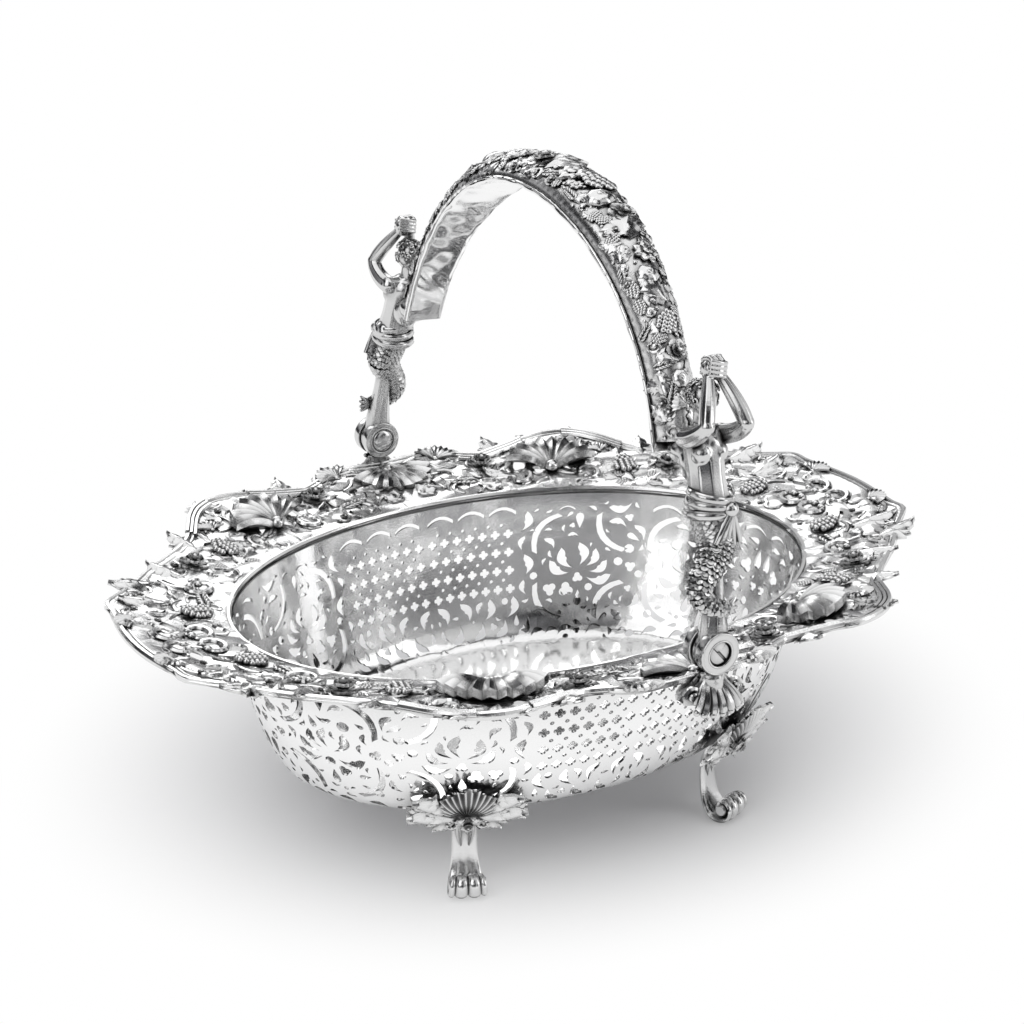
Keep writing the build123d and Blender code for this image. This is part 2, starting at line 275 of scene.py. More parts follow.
def cross_cut():
    angle = np.linspace(0, 2 * pi, 25)[:-1]
    reach = 0.30 + 0.20 * np.abs(np.cos(2 * angle)) ** 0.5 * (np.abs(np.cos(2 * angle)) > 0.3)
    return np.stack([reach * np.cos(angle), reach * np.sin(angle)], 1)


def sprig_cut():
    angle = np.linspace(0, 2 * pi, 19)[:-1]
    reach = 0.3 + 0.2 * np.abs(np.sin(1.5 * angle))
    return np.stack([reach * np.cos(angle), reach * np.sin(angle)], 1)


CUTS = {"comma": comma_cut(), "bar": bar_cut(), "arc": bar_cut(0.14, 0.22),
        "volute": volute_cut(), "drop": drop_cut(), "dot": round_cut(), "cross": cross_cut(),
        "sprig": sprig_cut()}


class Piercing:
    """The cuts of one flat plate. A cut keeps clear of the others and of the plate's edges."""

    def __init__(self, allowed, clearance=1.3):
        self.allowed, self.clearance, self.cuts = allowed, clearance, []

    def cut(self, kind, x, y, size, turn=0, flip=False):
        shape = CUTS[kind] * ((1, -1) if flip else (1, 1))
        c, s = cos(radians(turn)), sin(radians(turn))
        shape = shape @ np.array([[c, s], [-s, c]])
        for shrink in (1, 0.85, 0.7, 0.55):
            points = shape * size * shrink + (x, y)
            if not self.allowed(points):
                continue
            if all(self.gap(points, other) > self.clearance for other in self.cuts):
                self.cuts.append(points)
                return

    @staticmethod
    def gap(one, two):
        middle = np.linalg.norm(one.mean(0) - two.mean(0))
        if middle > 30:
            return middle
        halves = np.concatenate([(one + np.roll(one, 1, 0)) / 2, one])
        return np.linalg.norm(halves[:, None] - two[None], axis=2).min()


print("saw cuts:", ", ".join(CUTS))

# %% [markdown]
# On the real bowl a diaper panel of crosses sits under each end of the handle. On both sides
# of it stand medallions: a lozenge of bars round a spray of comma leaves, with volutes above
# and a row of leaves along the floor. One quarter is laid out here and mirrored later.

# %% Lay out the cuts of one quarter
def inside_quarter(points):
    x, y = points[:, 0], points[:, 1]
    return x.min() > 0.8 and x.max() < QUARTER - 0.8 and y.min() > 5 and y.max() < WALL_RISE - 4


wall = Piercing(inside_quarter)
for row in range(8):
    for column in range(7 - row % 2):
        x = QUARTER - 3.4 - 6.2 * (column + 0.5 * (row % 2))
        kind = "dot" if row % 2 else "cross"
        wall.cut(kind, x, 34 + 4.6 * row, 1.9 if row % 2 else 5.6)
for x in (QUARTER - 4, QUARTER - 16, QUARTER - 28, QUARTER - 40):
    wall.cut("comma", x, 25, 11, 70 if x > QUARTER - 20 else 110)
    wall.cut("comma", x - 6, 15, 11, -60, True)
for step in range(4):
    wall.cut("comma", QUARTER - 48, 34 + 11 * step, 11, 80 + 10 * step, step % 2 == 0)


def medallion(x, y, tall):
    for side in (1, -1):
        for rise, slant in ((1, -56), (-1, 56)):
            wall.cut("arc", x + side * 15, y + rise * 17, 22, side * slant, side * rise < 0)
        wall.cut("volute", x + side * 9, y + 29, 12, 90 - side * 60, side < 0)
        wall.cut("sprig", x + side * 24.5, y, 5.5, 90)
        wall.cut("drop", x + side * 24, y + 9, 7, 90)
        wall.cut("drop", x + side * 24, y - 9, 7, -90)
        wall.cut("comma", x + side * 18, y + 31, 13, side * 15, side < 0)
        wall.cut("comma", x + side * 8, y - 27, 11, 90 + side * 40, side > 0)
        wall.cut("comma", x + side * 19, y - 27, 11, 90 + side * 20, side > 0)
    for leaf in range(7):
        lean = -84 + 28 * leaf
        reach = 9.5 + 1.5 * tall * cos(radians(lean))
        wall.cut("comma", x + reach * sin(radians(lean)), y - 6 + reach * cos(radians(lean)),
                 12, 90 - lean, lean > 0)
    wall.cut("drop", x, y - 16, 8, 90)
    wall.cut("drop", x, y + 23, 8, -90)


medallion(QUARTER - 74, 43, 1.6)
medallion(QUARTER - 128, 43, 1.2)
for x, y, kind, size, turn in ((QUARTER - 101, 43, "comma", 13, 90), (QUARTER - 101, 60, "comma", 13, 60),
                               (QUARTER - 101, 26, "comma", 12, 120), (3.2, 60, "drop", 10, 90),
                               (3.2, 46, "sprig", 6, 90), (3.6, 30, "drop", 10, -90)):
    wall.cut(kind, x, y, size, turn)
x = 8
while x < QUARTER - 6:
    wall.cut("arc", x, WALL_RISE - 8, 13, 0)
    wall.cut("comma", x + 7, WALL_RISE - 16, 9, 20)
    wall.cut("comma", x, 10, 9, 150, True)
    wall.cut("dot", x + 3, 20, 2.2)
    x += 15
for _ in range(900):
    x, y = chance.uniform(0, QUARTER), chance.uniform(6, WALL_RISE - 4)
    if x < QUARTER - 46 or y < 28:
        wall.cut(chance.choice(("comma", "comma", "dot", "drop", "sprig")), x, y,
                 chance.uniform(4, 8), chance.uniform(0, 360), chance.random() < 0.5)
print("cuts in a quarter:", len(wall.cuts))


# %% [markdown]
# A filled 2D curve loses faces when it has hundreds of holes, so the plate is a constrained
# Delaunay mesh of its outlines. Its long thin triangles can't bend, so bisect slices it both ways. After it is bent, the quarter is mirrored twice, the seams are
# welded, the floor is filled, and Solidify gives the sheet its thickness.

# %% Saw and raise the bowl
def filled_plate(name, outlines):
    """A flat mesh inside the first outline and outside the others."""
    points, edges = [], []
    for outline in outlines:
        first, count = len(points), len(outline)
        points += [Vector((float(px), float(py))) for px, py in outline]
        edges += [(first + step, first + (step + 1) % count) for step in range(count)]
    flat, _, triangles, *_ = delaunay_2d_cdt(points, edges, [], 0, 1e-4)
    flat = np.array([tuple(point) for point in flat])
    middles = flat[np.array(triangles)].mean(1)
    crossings = np.zeros(len(middles), int)
    for first, second in edges:
        (ax, ay), (bx, by) = points[first], points[second]
        if ay != by:
            spans = (ay > middles[:, 1]) != (by > middles[:, 1])
            crossings += spans & (middles[:, 0] < ax + (middles[:, 1] - ay) * (bx - ax) / (by - ay))
    kept = [tuple(face) for face, count in zip(triangles, crossings) if count % 2]
    plate = mesh_piece(name, np.column_stack([flat, np.zeros(len(flat))]), kept)
    edit(plate, (bpy.ops.mesh.delete_loose, {}))
    return plate


def slice_plate(plate, axis, places):
    """Cuts the mesh along straight lines, so that it can bend there."""
    only(plate)
    bpy.ops.object.mode_set(mode="EDIT")
    for place in places:
        bpy.ops.mesh.select_all(action="SELECT")
        spot, way = [0, 0, 0], [0, 0, 0]
        spot[axis], way[axis] = place * MM, 1
        bpy.ops.mesh.bisect(plane_co=spot, plane_no=way)
    bpy.ops.object.mode_set(mode="OBJECT")
    return plate


def mirrored(piece, *signs):
    """Joins a piece with its copies, each multiplied by one triple of signs."""
    twins = [copy_of(piece, lambda co, sign=sign: co * sign) for sign in signs]
    return join([piece] + twins, piece.name)


steps = np.linspace(0, 1, 41)[:-1]
edge = ([(QUARTER * s, 0) for s in steps] + [(QUARTER, WALL_RISE * s) for s in steps] +
        [(QUARTER * (1 - s), WALL_RISE) for s in steps] + [(0, WALL_RISE * (1 - s)) for s in steps])
bowl = filled_plate("bowl_sheet", [edge] + wall.cuts)
slice_plate(bowl, 0, np.linspace(0, QUARTER, 29)[1:-1])
slice_plate(bowl, 1, np.interp(BASE_Z + np.array([1, 3, 6, 11, 18, 27, 38, 52]), wall_heights, wall_profile))
put_corners(bowl, on_wall(corners(bowl)))
mirrored(bowl, (-1, 1, 1), (-1, -1, 1), (1, -1, 1))
edit(bowl, (bpy.ops.mesh.remove_doubles, {"threshold": 0.02 * MM}))
only(bowl)
bpy.ops.object.mode_set(mode="EDIT")
select_rim(bowl, lambda e: max(v.co.z for v in e.verts) < (BASE_Z + 0.01) * MM)
for shrink in (0.93, 0.75, 0.5, 0.3):
    bpy.ops.mesh.extrude_region_move()
    bpy.ops.transform.resize(value=(shrink, shrink, 1), center_override=(0, 0, BASE_Z * MM))
bpy.ops.mesh.edge_face_add()
bpy.ops.object.mode_set(mode="OBJECT")
outwards(bowl)
modify(bowl, "SOLIDIFY", thickness=SHEET * MM, offset=-1)
smooth(bowl, 35)
print("bowl:", len(bowl.data.polygons), "faces")

# %% [markdown]
# The cast border lies on a shallow cone round the bowl. Every ornament on it is laid out by a
# turn round the oval and a distance out from the wall, which is how a silversmith would mark
# it out too. `edge_out` says how far the border reaches at each turn, from its drawn outline.

# %% The border's form
RIM_Z = 107.7 + 2.4
RIM_SLOPE = 0.2
OUTLINE = [(0, 141), (15, 142), (29, 140), (38, 134), (48, 129), (58, 130.5), (70, 132), (82, 135),
           (92, 134), (100, 131), (106, 127), (112, 119), (117, 109), (121, 101), (127, 94),
           (135, 87), (143, 80.5), (150, 75), (157, 68), (164, 60.5), (171, 54), (178, 48),
           (184, 42.5), (183.5, 35), (185, 26), (187, 14), (188, 0)]


def rim_frame(turn):
    """The wall's top at a turn in degrees, and the direction out from it."""
    turn = np.radians(turn)
    top = np.stack([TOP_HALF[0] * np.cos(turn), TOP_HALF[1] * np.sin(turn)], -1)
    out = np.stack([np.cos(turn) / TOP_HALF[0], np.sin(turn) / TOP_HALF[1]], -1)
    return top, out / np.linalg.norm(out, axis=-1, keepdims=True)


def rim_measure(points):
    """(turn, out) of points in plan, from the nearest place on the wall's top."""
    turn = np.degrees(np.arctan2(points[:, 1] / TOP_HALF[1], points[:, 0] / TOP_HALF[0]))
    for _ in range(6):
        top, out = rim_frame(turn)
        along = np.stack([-out[:, 1], out[:, 0]], 1)
        turn = turn + np.degrees(((points - top) * along).sum(1) / (120 + 40))
    top, out = rim_frame(turn)
    return turn, ((points - top) * out).sum(1)


def rim_height(out):
    return RIM_Z + RIM_SLOPE * (out + 2)


outline_turn, outline_out = rim_measure(np.array(OUTLINE, float))


def edge_out(turn):
    """How far the border reaches at a turn, the same in all four quarters."""
    turn = abs((turn + 180) % 360 - 180)
    return float(np.interp(min(turn, 180 - turn), outline_turn[::-1], outline_out[::-1]))


def on_rim(points, turn, out, spin=0, size=1.0, lift=0.0, mirror=1):
    """Sets an ornament on the border: its x points outwards before it is spun."""
    c, s = cos(radians(spin)), sin(radians(spin))
    local = np.asarray(points, float) * size
    x = local[:, 0] * c - local[:, 1] * s * mirror
    y = local[:, 0] * s + local[:, 1] * c * mirror
    top, way = rim_frame(turn)
    slope = Vector((1, 0, RIM_SLOPE)).normalized()
    flat = x * slope.x - (local[:, 2] + lift) * slope.z
    base = top + way * out
    return np.stack([base[0] + way[0] * flat - way[1] * y,
                     base[1] + way[1] * flat + way[0] * y,
                     rim_height(out) + x * slope.z + (local[:, 2] + lift) * slope.x], 1)


print("border reach at turns 0, 15, 45, 60, 90:", [round(edge_out(t)) for t in (0, 15, 45, 60, 90)])

# %% [markdown]
# The ornaments are modelled once in millimetres, lying flat, and then copied all over the
# border, the handle and the feet. Each is a small relief of a few dozen faces: a vine leaf
# with veins, a rose, a bunch of grapes, a fan shell, an ear of wheat, a fruit, a daisy and
# scrolls. A grid is enough for leaf and shell; a squashed icosphere makes berries and grains.

# %% Ornaments
def grid_piece(name, rows, columns, place):
    """A sheet of quads whose points come from place(u, v), with u and v from 0 to 1."""
    points = [place(i / (rows - 1), j / (columns - 1)) for i in range(rows) for j in range(columns)]
    faces = [(i * columns + j, (i + 1) * columns + j, (i + 1) * columns + j + 1, i * columns + j + 1)
             for i in range(rows - 1) for j in range(columns - 1)]
    return mesh_piece(name, points, faces)


def skirted(piece, depth=1.4):
    """Runs the sheet's open edge down and closes it, so that the relief is a solid."""
    only(piece)
    bpy.ops.object.mode_set(mode="EDIT")
    select_rim(piece)
    bpy.ops.mesh.extrude_region_move(TRANSFORM_OT_translate={"value": (0, 0, -depth * MM)})
    bpy.ops.mesh.select_all(action="SELECT")
    bpy.ops.mesh.fill_holes(sides=0)
    bpy.ops.object.mode_set(mode="OBJECT")
    return smooth(piece, 50)


def ball(name, radius, squash=1.0, place=(0, 0, 0), detail=1):
    bpy.ops.mesh.primitive_ico_sphere_add(subdivisions=detail, radius=radius * MM,
                                          location=[c * MM for c in place], scale=(1, 1, squash))
    return take_active(name)


def leaf_relief(lobes=3, length=14.0, half=5.5, curl=1.6):
    def place(u, v):
        side = 2 * v - 1
        outline = sin(pi * min(1, u * 1.02) ** 0.75) ** 0.8 * (1 + 0.28 * cos(2 * pi * lobes * u))
        x = length * (u + 0.10 * abs(side) * cos(2 * pi * lobes * u) * (1 - u)) - length * 0.15
        vein = 0.9 * (1 - abs(side)) ** 3 + 0.28 * cos(2 * pi * lobes * 2 * (u - 0.25 * abs(side)))
        z = 1.0 + vein + curl * (0.4 - 0.9 * side * side) * sin(pi * u) + curl * u * u
        return x, half * side * max(outline, 0.03), z
    return skirted(grid_piece("leaf", 13, 9, place))


def shell_relief(ribs=9, span=150.0, radius=12.0, rise=3.4):
    def place(u, v):
        angle = radians(span) * (v - 0.5)
        reach = radius * (0.12 + 0.88 * u) * (1 + 0.05 * cos(2 * pi * ribs * v) * u)
        dome = rise * sin(pi * min(1, 0.12 + 0.8 * u)) ** 0.7
        rib = (0.2 + 0.9 * u) * (0.5 + 0.5 * cos(2 * pi * ribs * (v - 0.5) + pi * (ribs % 2)))
        return reach * cos(angle), reach * sin(angle), 0.6 + dome + rib + 1.2 * u * u
    shell = grid_piece("shell", 7, 4 * ribs + 1, place)
    return join([skirted(shell, 2.0), ball("boss", 1.9, 0.8, (0.6, 0, 2), 2)], "shell")


def rose_relief():
    petals = []
    for tier, (count, reach, rise, tilt) in enumerate(((6, 3.6, 0.9, 0.9), (5, 2.2, 1.9, 1.4), (3, 1.0, 2.9, 1.2))):
        for petal in range(count):
            turn = 2 * pi * (petal + 0.5 * tier) / count

            def place(u, v, turn=turn, reach=reach, rise=rise, tilt=tilt, count=count):
                angle = turn + (v - 0.5) * 2 * pi / count * 1.35
                far = reach * (0.35 + 0.8 * u * (1 - 0.35 * (2 * v - 1) ** 2))
                return far * cos(angle), far * sin(angle), rise + tilt * u * u - 0.4 * u
            petals.append(grid_piece("petal", 4, 5, place))
    rose = join(petals, "rose")
    return join([skirted(rose, 0.8), ball("heart", 1.1, 0.9, (0, 0, 3.0))], "rose")


def daisy_relief(count=7):
    def place(u, v):
        angle = 2 * pi * v
        far = 4.0 * (0.25 + 0.75 * u) * (1 - 0.3 * u * (0.5 + 0.5 * cos(count * angle)))
        return far * cos(angle), far * sin(angle), 1.4 + 0.7 * sin(pi * u) + 0.4 * cos(count * angle + pi) * u
    return join([skirted(grid_piece("daisy", 4, 4 * count + 1, place), 1.2),
                 ball("eye", 1.2, 0.7, (0, 0, 1.9))], "daisy")


def grape_relief(rows=6, size=2.3):
    berries = []
    for row in range(rows):
        wide = min(row + 1.6, 3.6) if row < rows - 1 else 2.4
        for spot in range(int(round(wide))):
            y = (spot - (round(wide) - 1) / 2) * size * 0.92
            lift = 1.0 + 1.2 * (1 - (2 * y / (3.8 * size)) ** 2) + 0.3 * chance.random()
            berries.append(ball("berry", size * 0.56, 1.0, (-(row - rows / 2) * size * 0.78, y, lift), 2))
    return smooth(join(berries, "grapes"), 60)


def wheat_relief(pairs=5):
    grains = []
    for pair in range(pairs):
        for side in (-1, 1):
            grain = ball("grain", 1.0, 0.9)
            size = 1.15 - 0.08 * pair
            turn = side * radians(24)
            co = corners(grain) * (2.1 * size, 0.85 * size, size)
            grain_at = np.stack([co[:, 0] * cos(turn) - co[:, 1] * sin(turn) + pair * 2.1 - 4,
                                 co[:, 0] * sin(turn) + co[:, 1] * cos(turn) + side * 1.15 * size,
                                 co[:, 2] + 1.4], 1)
            grains.append(put_corners(grain, grain_at))
    tip = ball("grain", 1.0, 0.9)
    grains.append(put_corners(tip, corners(tip) * (2.0, 0.8, 0.8) + (pairs * 2.1 - 3.2, 0, 1.5)))
    return smooth(join(grains, "wheat"), 60)


def fruit_relief(ribs=8):
    """A melon or pear: a ribbed ball with a small calyx."""
    def place(u, v):
        angle, up = 2 * pi * v, pi * (u * 0.56)
        far = 3.4 * sin(up) * (1 + 0.07 * cos(ribs * angle))
        return far * cos(angle), far * sin(angle), 0.2 + 3.2 * cos(up) - 0.5 * (u < 0.1)
    return join([smooth(grid_piece("fruit", 8, 25, place), 60), ball("calyx", 0.7, 0.8, (0, 0, 3.1))], "fruit")


def tube_piece(name, route, sides=8, flat=1.0):
    """A round bar through points given as (x, y, z, radius), with flat caps at its ends."""
    curve = bpy.data.curves.new(name, "CURVE")
    curve.dimensions = "3D"
    curve.bevel_depth = MM
    curve.bevel_resolution = max(0, sides // 4 - 1)
    curve.use_fill_caps = True
    curve.resolution_u = 4
    spline = curve.splines.new("NURBS")
    spline.points.add(len(route) - 1)
    for point, (x, y, z, radius) in zip(spline.points, route):
        point.co = (x * MM, y * MM, z * MM, 1)
        point.radius = radius
    spline.order_u = min(4, len(route))
    spline.use_endpoint_u = True
    tube = bpy.data.objects.new(name, curve)
    bpy.context.collection.objects.link(tube)
    only(tube)
    bpy.ops.object.convert(target="MESH")
    return smooth(bpy.context.object, 60)


def scroll_relief(size=9.0, sweep=250.0, thick=1.15):
    """A C-scroll: a tapering bar that winds into a bead at each end."""
    route = []
    for step in range(15):
        share = step / 14
        angle = radians(sweep) * (share - 0.5)
        far = size * (0.62 - 0.34 * (2 * share - 1) ** 4)
        route.append((size * 0.3 - far * cos(angle), far * sin(angle), 1.0 + 0.6 * sin(pi * share),
                      thick * (0.55 + 0.6 * sin(pi * share))))
    ends = [ball("bead", 1.5, 0.9, (route[end][0], route[end][1], 1.3), 2) for end in (0, -1)]
    return smooth(join([tube_piece("scroll", route)] + ends, "scroll"), 60)


ORNAMENTS = {
    "leaf": leaf_relief(), "acanthus": leaf_relief(5, 20.0, 6.5, 2.4), "shell": shell_relief(),
    "rose": rose_relief(), "daisy": daisy_relief(), "grapes": grape_relief(), "wheat": wheat_relief(),
    "fruit": fruit_relief(), "scroll": scroll_relief(), "bead": ball("bead", 1.0, 0.8, (0, 0, 0.5)),
}
for ornament in ORNAMENTS.values():
    outwards(ornament)
print({name: len(piece.data.polygons) for name, piece in ORNAMENTS.items()})

# %% [markdown]
# The border itself is openwork. Its plate is drawn in plan, with its openings, and bent onto
# the cone as the bowl was bent onto its wall. The real border is cast in four sections, so it
# is made as two shapes, half a side and half an end, which are mirrored into place.

# %% The border's openwork plates
SEAM = 60
SIDE_TURNS = np.arange(SEAM, 90.1, 1.5)
END_TURNS = np.arange(0, SEAM + 0.1, 1.5)


def plan_points(turns, outs):
    return np.array([rim_frame(t)[0] + rim_frame(t)[1] * o for t, o in zip(turns, outs)])


def openings(first, last):
    """Openings of half a section: big commas and drops in rows, then small ones between them."""
    def allowed(points):
        turn, out = rim_measure(points)
        edge = min(edge_out(t) - o for t, o in zip(turn, out))
        return out.min() > 4.0 and edge > 3.5 and turn.min() > first + 0.8 and turn.max() < last - 0.8
    sheet = Piercing(allowed, 2.0)
    for _ in range(700):
        turn = chance.uniform(first, last)
        out = chance.uniform(5, 50)
        x, y = rim_frame(turn)[0] + rim_frame(turn)[1] * out
        sheet.cut(chance.choice(("comma", "comma", "drop", "arc", "sprig")), x, y,
                  chance.uniform(8, 15), chance.uniform(0, 360), chance.random() < 0.5)
    return sheet.cuts


def rim_plate(name, turns, cuts):
    outer = plan_points(turns, [edge_out(t) for t in turns])
    inner = plan_points(turns, [-0.6] * len(turns))[::-1]
    plate = filled_plate(name, [np.concatenate([outer, inner])] + cuts)
    co = corners(plate)
    slice_plate(plate, 0, np.arange(co[:, 0].min(), co[:, 0].max(), 7)[1:])
    slice_plate(plate, 1, np.arange(co[:, 1].min(), co[:, 1].max(), 7)[1:])
    co = corners(plate)
    turn, out = rim_measure(co[:, :2])
    co[:, 2] = rim_height(out) + 0.5 * np.sin(out * 0.45 + turn * 0.3) - 0.3
    put_corners(plate, co)
    return plate


side_cuts, end_cuts = openings(SEAM, 90), openings(0, SEAM)
side_plate = rim_plate("side_plate", SIDE_TURNS, side_cuts)
end_plate = rim_plate("end_plate", END_TURNS, end_cuts)
for plate in (side_plate, end_plate):
    outwards(plate)
    modify(plate, "SOLIDIFY", thickness=1.9 * MM, offset=0)
    smooth(plate, 50)
print("openings in a quarter:", len(side_cuts) + len(end_cuts))

# %% [markdown]
# Now the relief. Where the photo shows a large ornament it is placed from a given list: the corner
# scallop, two roses, grapes and tip leaves in each quarter. Scrolls wind round the openings,
# a bead edge and reeded wires follow the outline, and smaller leaves, daisies and ears of
# wheat fill what is left, thickest near the edge.

# %% Relief of half a side and half an end
def relief(kind, turn, out, spin=0.0, size=1.0, lift=-0.3, mirror=1, rise=1.0):
    return copy_of(ORNAMENTS[kind], lambda co: on_rim(co * (1, 1, rise), turn, out, spin, size, lift, mirror))


def rim_bar(name, stops, sides=8):
    """A bar along the border through stops given as (turn, out, lift, radius)."""
    route = [(*on_rim([(0, 0, 0)], turn, out, lift=lift)[0], radius) for turn, out, lift, radius in stops]
    return tube_piece(name, route, sides)


def scroll_round(cut):
    """A scroll that follows two thirds of an opening's outline, thickest in its middle."""
    middle = cut.mean(0)
    ring = middle + (cut - middle) * (1 + 1.3 / max(3.0, np.linalg.norm(cut - middle, axis=1).max()))
    start, count = chance.randrange(len(ring)), int(len(ring) * 0.66)
    part = np.roll(ring, -start, axis=0)[:count]
    turn, out = rim_measure(part)
    return [(t, o, 0.3, 0.55 + 0.65 * sin(pi * (i + 0.5) / count)) for i, (t, o) in enumerate(zip(turn, out))]


def edge_pieces(first, last):
    pieces = []
    stops = [(t, edge_out(t) - 1.2, 0.2, 1.35) for t in np.arange(first, last + 0.1, 1.5)]
    pieces.append(rim_bar("edge", stops))
    pieces.append(rim_bar("edge", [(t, o - 2.6, 0.4, 0.8) for t, o, _, _ in stops]))
    for start, end in ((46, 57), (64, 80)):
        if first <= start < last:
            for row in range(3):
                pieces.append(rim_bar("reed", [(t, edge_out(t) - 0.6 - 2.1 * row, 1.0 - 0.1 * row, 1.2) for t in np.arange(start, end, 1.5)]))
    pieces.append(rim_bar("brim", [(t, 0.2, 0.0, 1.3) for t in np.arange(first, last + 0.1, 2)]))
    return pieces


def fill(first, last, taken):
    """Small ornaments wherever there is room among the large ones."""
    pieces = []
    for _ in range(1700):
        turn = chance.uniform(first + 1.5, last - 1.5)
        reach = edge_out(turn)
        out = min(reach * chance.random() ** 0.7, reach - 4)
        if out < 2.6:
            continue
        kind = chance.choice(("leaf", "leaf", "daisy", "scroll", "wheat", "acanthus", "bead", "grapes", "rose"))
        size = {"leaf": 0.75, "daisy": 0.8, "scroll": 0.62, "wheat": 0.75, "acanthus": 0.6,
                "bead": 1.6, "grapes": 0.6, "rose": 0.7}[kind] * chance.uniform(0.8, 1.15)
        room = {"bead": 1.6, "daisy": 3.2, "rose": 3.2}.get(kind, 5.0) * size / 0.75
        spot = rim_frame(turn)[0] + rim_frame(turn)[1] * out
        if any(np.linalg.norm(spot - other) < room + gap for other, gap in taken):
            continue
        taken.append((spot, room))
        spin = chance.uniform(-70, 70) if out > 0.6 * reach else chance.uniform(0, 360)
        pieces.append(relief(kind, turn, out, spin, size, -0.3, chance.choice((1, -1)), 0.62))
    return pieces


def half_section(first, last, cuts, large):
    taken = [(rim_frame(turn)[0] + rim_frame(turn)[1] * out, 8.0 * size) for _, turn, out, _, size in large]
    taken += [(rim_frame(SEAM)[0] + rim_frame(SEAM)[1] * 27, 15.0)]
    pieces = [relief(kind, turn, out, spin, size, rise=0.8) for kind, turn, out, spin, size in large]
    pieces += [rim_bar("scroll", scroll_round(cut)) for cut in cuts]
    pieces += edge_pieces(first, last) + fill(first, last, taken)
    return join(pieces, "relief")


side_relief = half_section(SEAM, 90, side_cuts, [
    ("scroll", 66, 12, 60, 1.1), ("acanthus", 69, 36, 20, 0.9), ("wheat", 78, 14, 80, 1.1),
    ("acanthus", 82, 24, 100, 0.9), ("scroll", 77, 38, 100, 1.0), ("leaf", 85, 12, 60, 1.0)])
end_relief = half_section(0, SEAM, end_cuts, [
    ("scroll", 3.5, 16, 0, 1.3), ("scroll", 3.0, 34, 180, 1.2), ("shell", 8, 42, 10, 0.7),
    ("acanthus", 24, 36, -30, 1.1), ("wheat", 22, 12, 70, 1.2), ("scroll", 26, 14, 40, 1.2),
    ("acanthus", 42, 32, 10, 0.9), ("scroll", 52, 14, 120, 1.1), ("shell", 50, 34, 20, 0.6),
    ("acanthus", 54, 20, 200, 0.8)])
print("relief faces:", len(side_relief.data.polygons), len(end_relief.data.polygons))

# %% Mirror the sections into place
def whole(parts, name, first, second):
    """Joins a half section with its mirror image, and gives the copy on the far side as well."""
    half = join(parts, name)
    mirrored(half, first)
    outwards(half)
    far = copy_of(half, lambda co: co * second)
    far.name = name + "_far"
    return half, outwards(far)


cast_back, cast_front = whole([side_plate, side_relief], "cast_side", (-1, 1, 1), (1, -1, 1))
cast_right, cast_left = whole([end_plate, end_relief], "cast_end", (1, -1, 1), (-1, 1, 1))
for piece, name in ((cast_back, "back"), (cast_front, "front"), (cast_right, "right"), (cast_left, "left")):
    piece.name = "cast_border_" + name
    smooth(piece, 50)
    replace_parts(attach(piece, "basket"), "border_" + name)
print("sections done")

# %% [markdown]
# The applied ornaments are nodes of their own in the frame: eight roses, eight bunches of
# grapes, eight tip leaves and the four corner scallops. `four` repeats one piece in all four
# quarters, by mirroring its points.

# %% Roses, grapes, leaves and corner scallops
QUARTERS = {"back_right": (1, 1, 1), "back_left": (-1, 1, 1), "front_right": (1, -1, 1), "front_left": (-1, -1, 1)}


def four(pieces, name):
    base = join(pieces, name)
    mirrored(base, (-1, 1, 1), (1, -1, 1), (-1, -1, 1))
    return smooth(outwards(base), 50)


roses = four([relief("rose", 73, 27, 20, 1.75), relief("rose", 36, 24, 0, 1.7)], "roses")
bunches = four([relief("grapes", 45, 19, 15, 1.25), relief("grapes", 14, 13, -20, 1.25)], "bunches")
tips = four([relief("acanthus", 17, 28, -8, 1.15, rise=0.7), relief("acanthus", 30, 26, 12, 1.0, rise=0.7)], "tips")
for piece, node in ((roses, "border_roses"), (bunches, "grape_bunches"), (tips, "tip_leaves")):
    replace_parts(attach(piece, "basket"), node)

scallop = join([relief("shell", 60, 16, 0, 1.85, -0.5)] +
               [relief("acanthus", 60 + side * 9, 14, side * 60, 0.8) for side in (1, -1)], "scallop")
for name, sign in QUARTERS.items():
    piece = outwards(copy_of(scallop, lambda co: co * sign))
    piece.name = "scallop_" + name
    smooth(piece, 50)
    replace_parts(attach(piece, "basket"), "corner_shell_" + name)
drop(scallop)
print("applied ornaments done")

# %% [markdown]
# The handle is modelled upright with the hinge axis at its foot and then leaned to its rest
# angle, exactly as in the frame. Its outer half is chased all over with fruit, flowers, vine
# leaves and grapes on a matted ground, so the domed strap is a fine grid and the same
# ornaments are laid over it, the largest along the crown.

# %% The chased strap
HINGE_Z = 132.2
LEAN = radians(4.8)
ARCH_MID, ARCH_HALF, ARCH_RISE, ARCH_END = 40.0, 109.0, 118.0, 16.0


def rest_place(points):
    """From the upright handle to its place at rest."""
    x, y, z = np.asarray(points, float).T
    return np.stack([x * cos(LEAN) + z * sin(LEAN), y, HINGE_Z - x * sin(LEAN) + z * cos(LEAN)], 1)


def strap_size(angle):
    lift = np.sin(np.radians(angle))
    return 9.0 + 8.0 * lift ** 3, 13.5 - 4.0 * lift


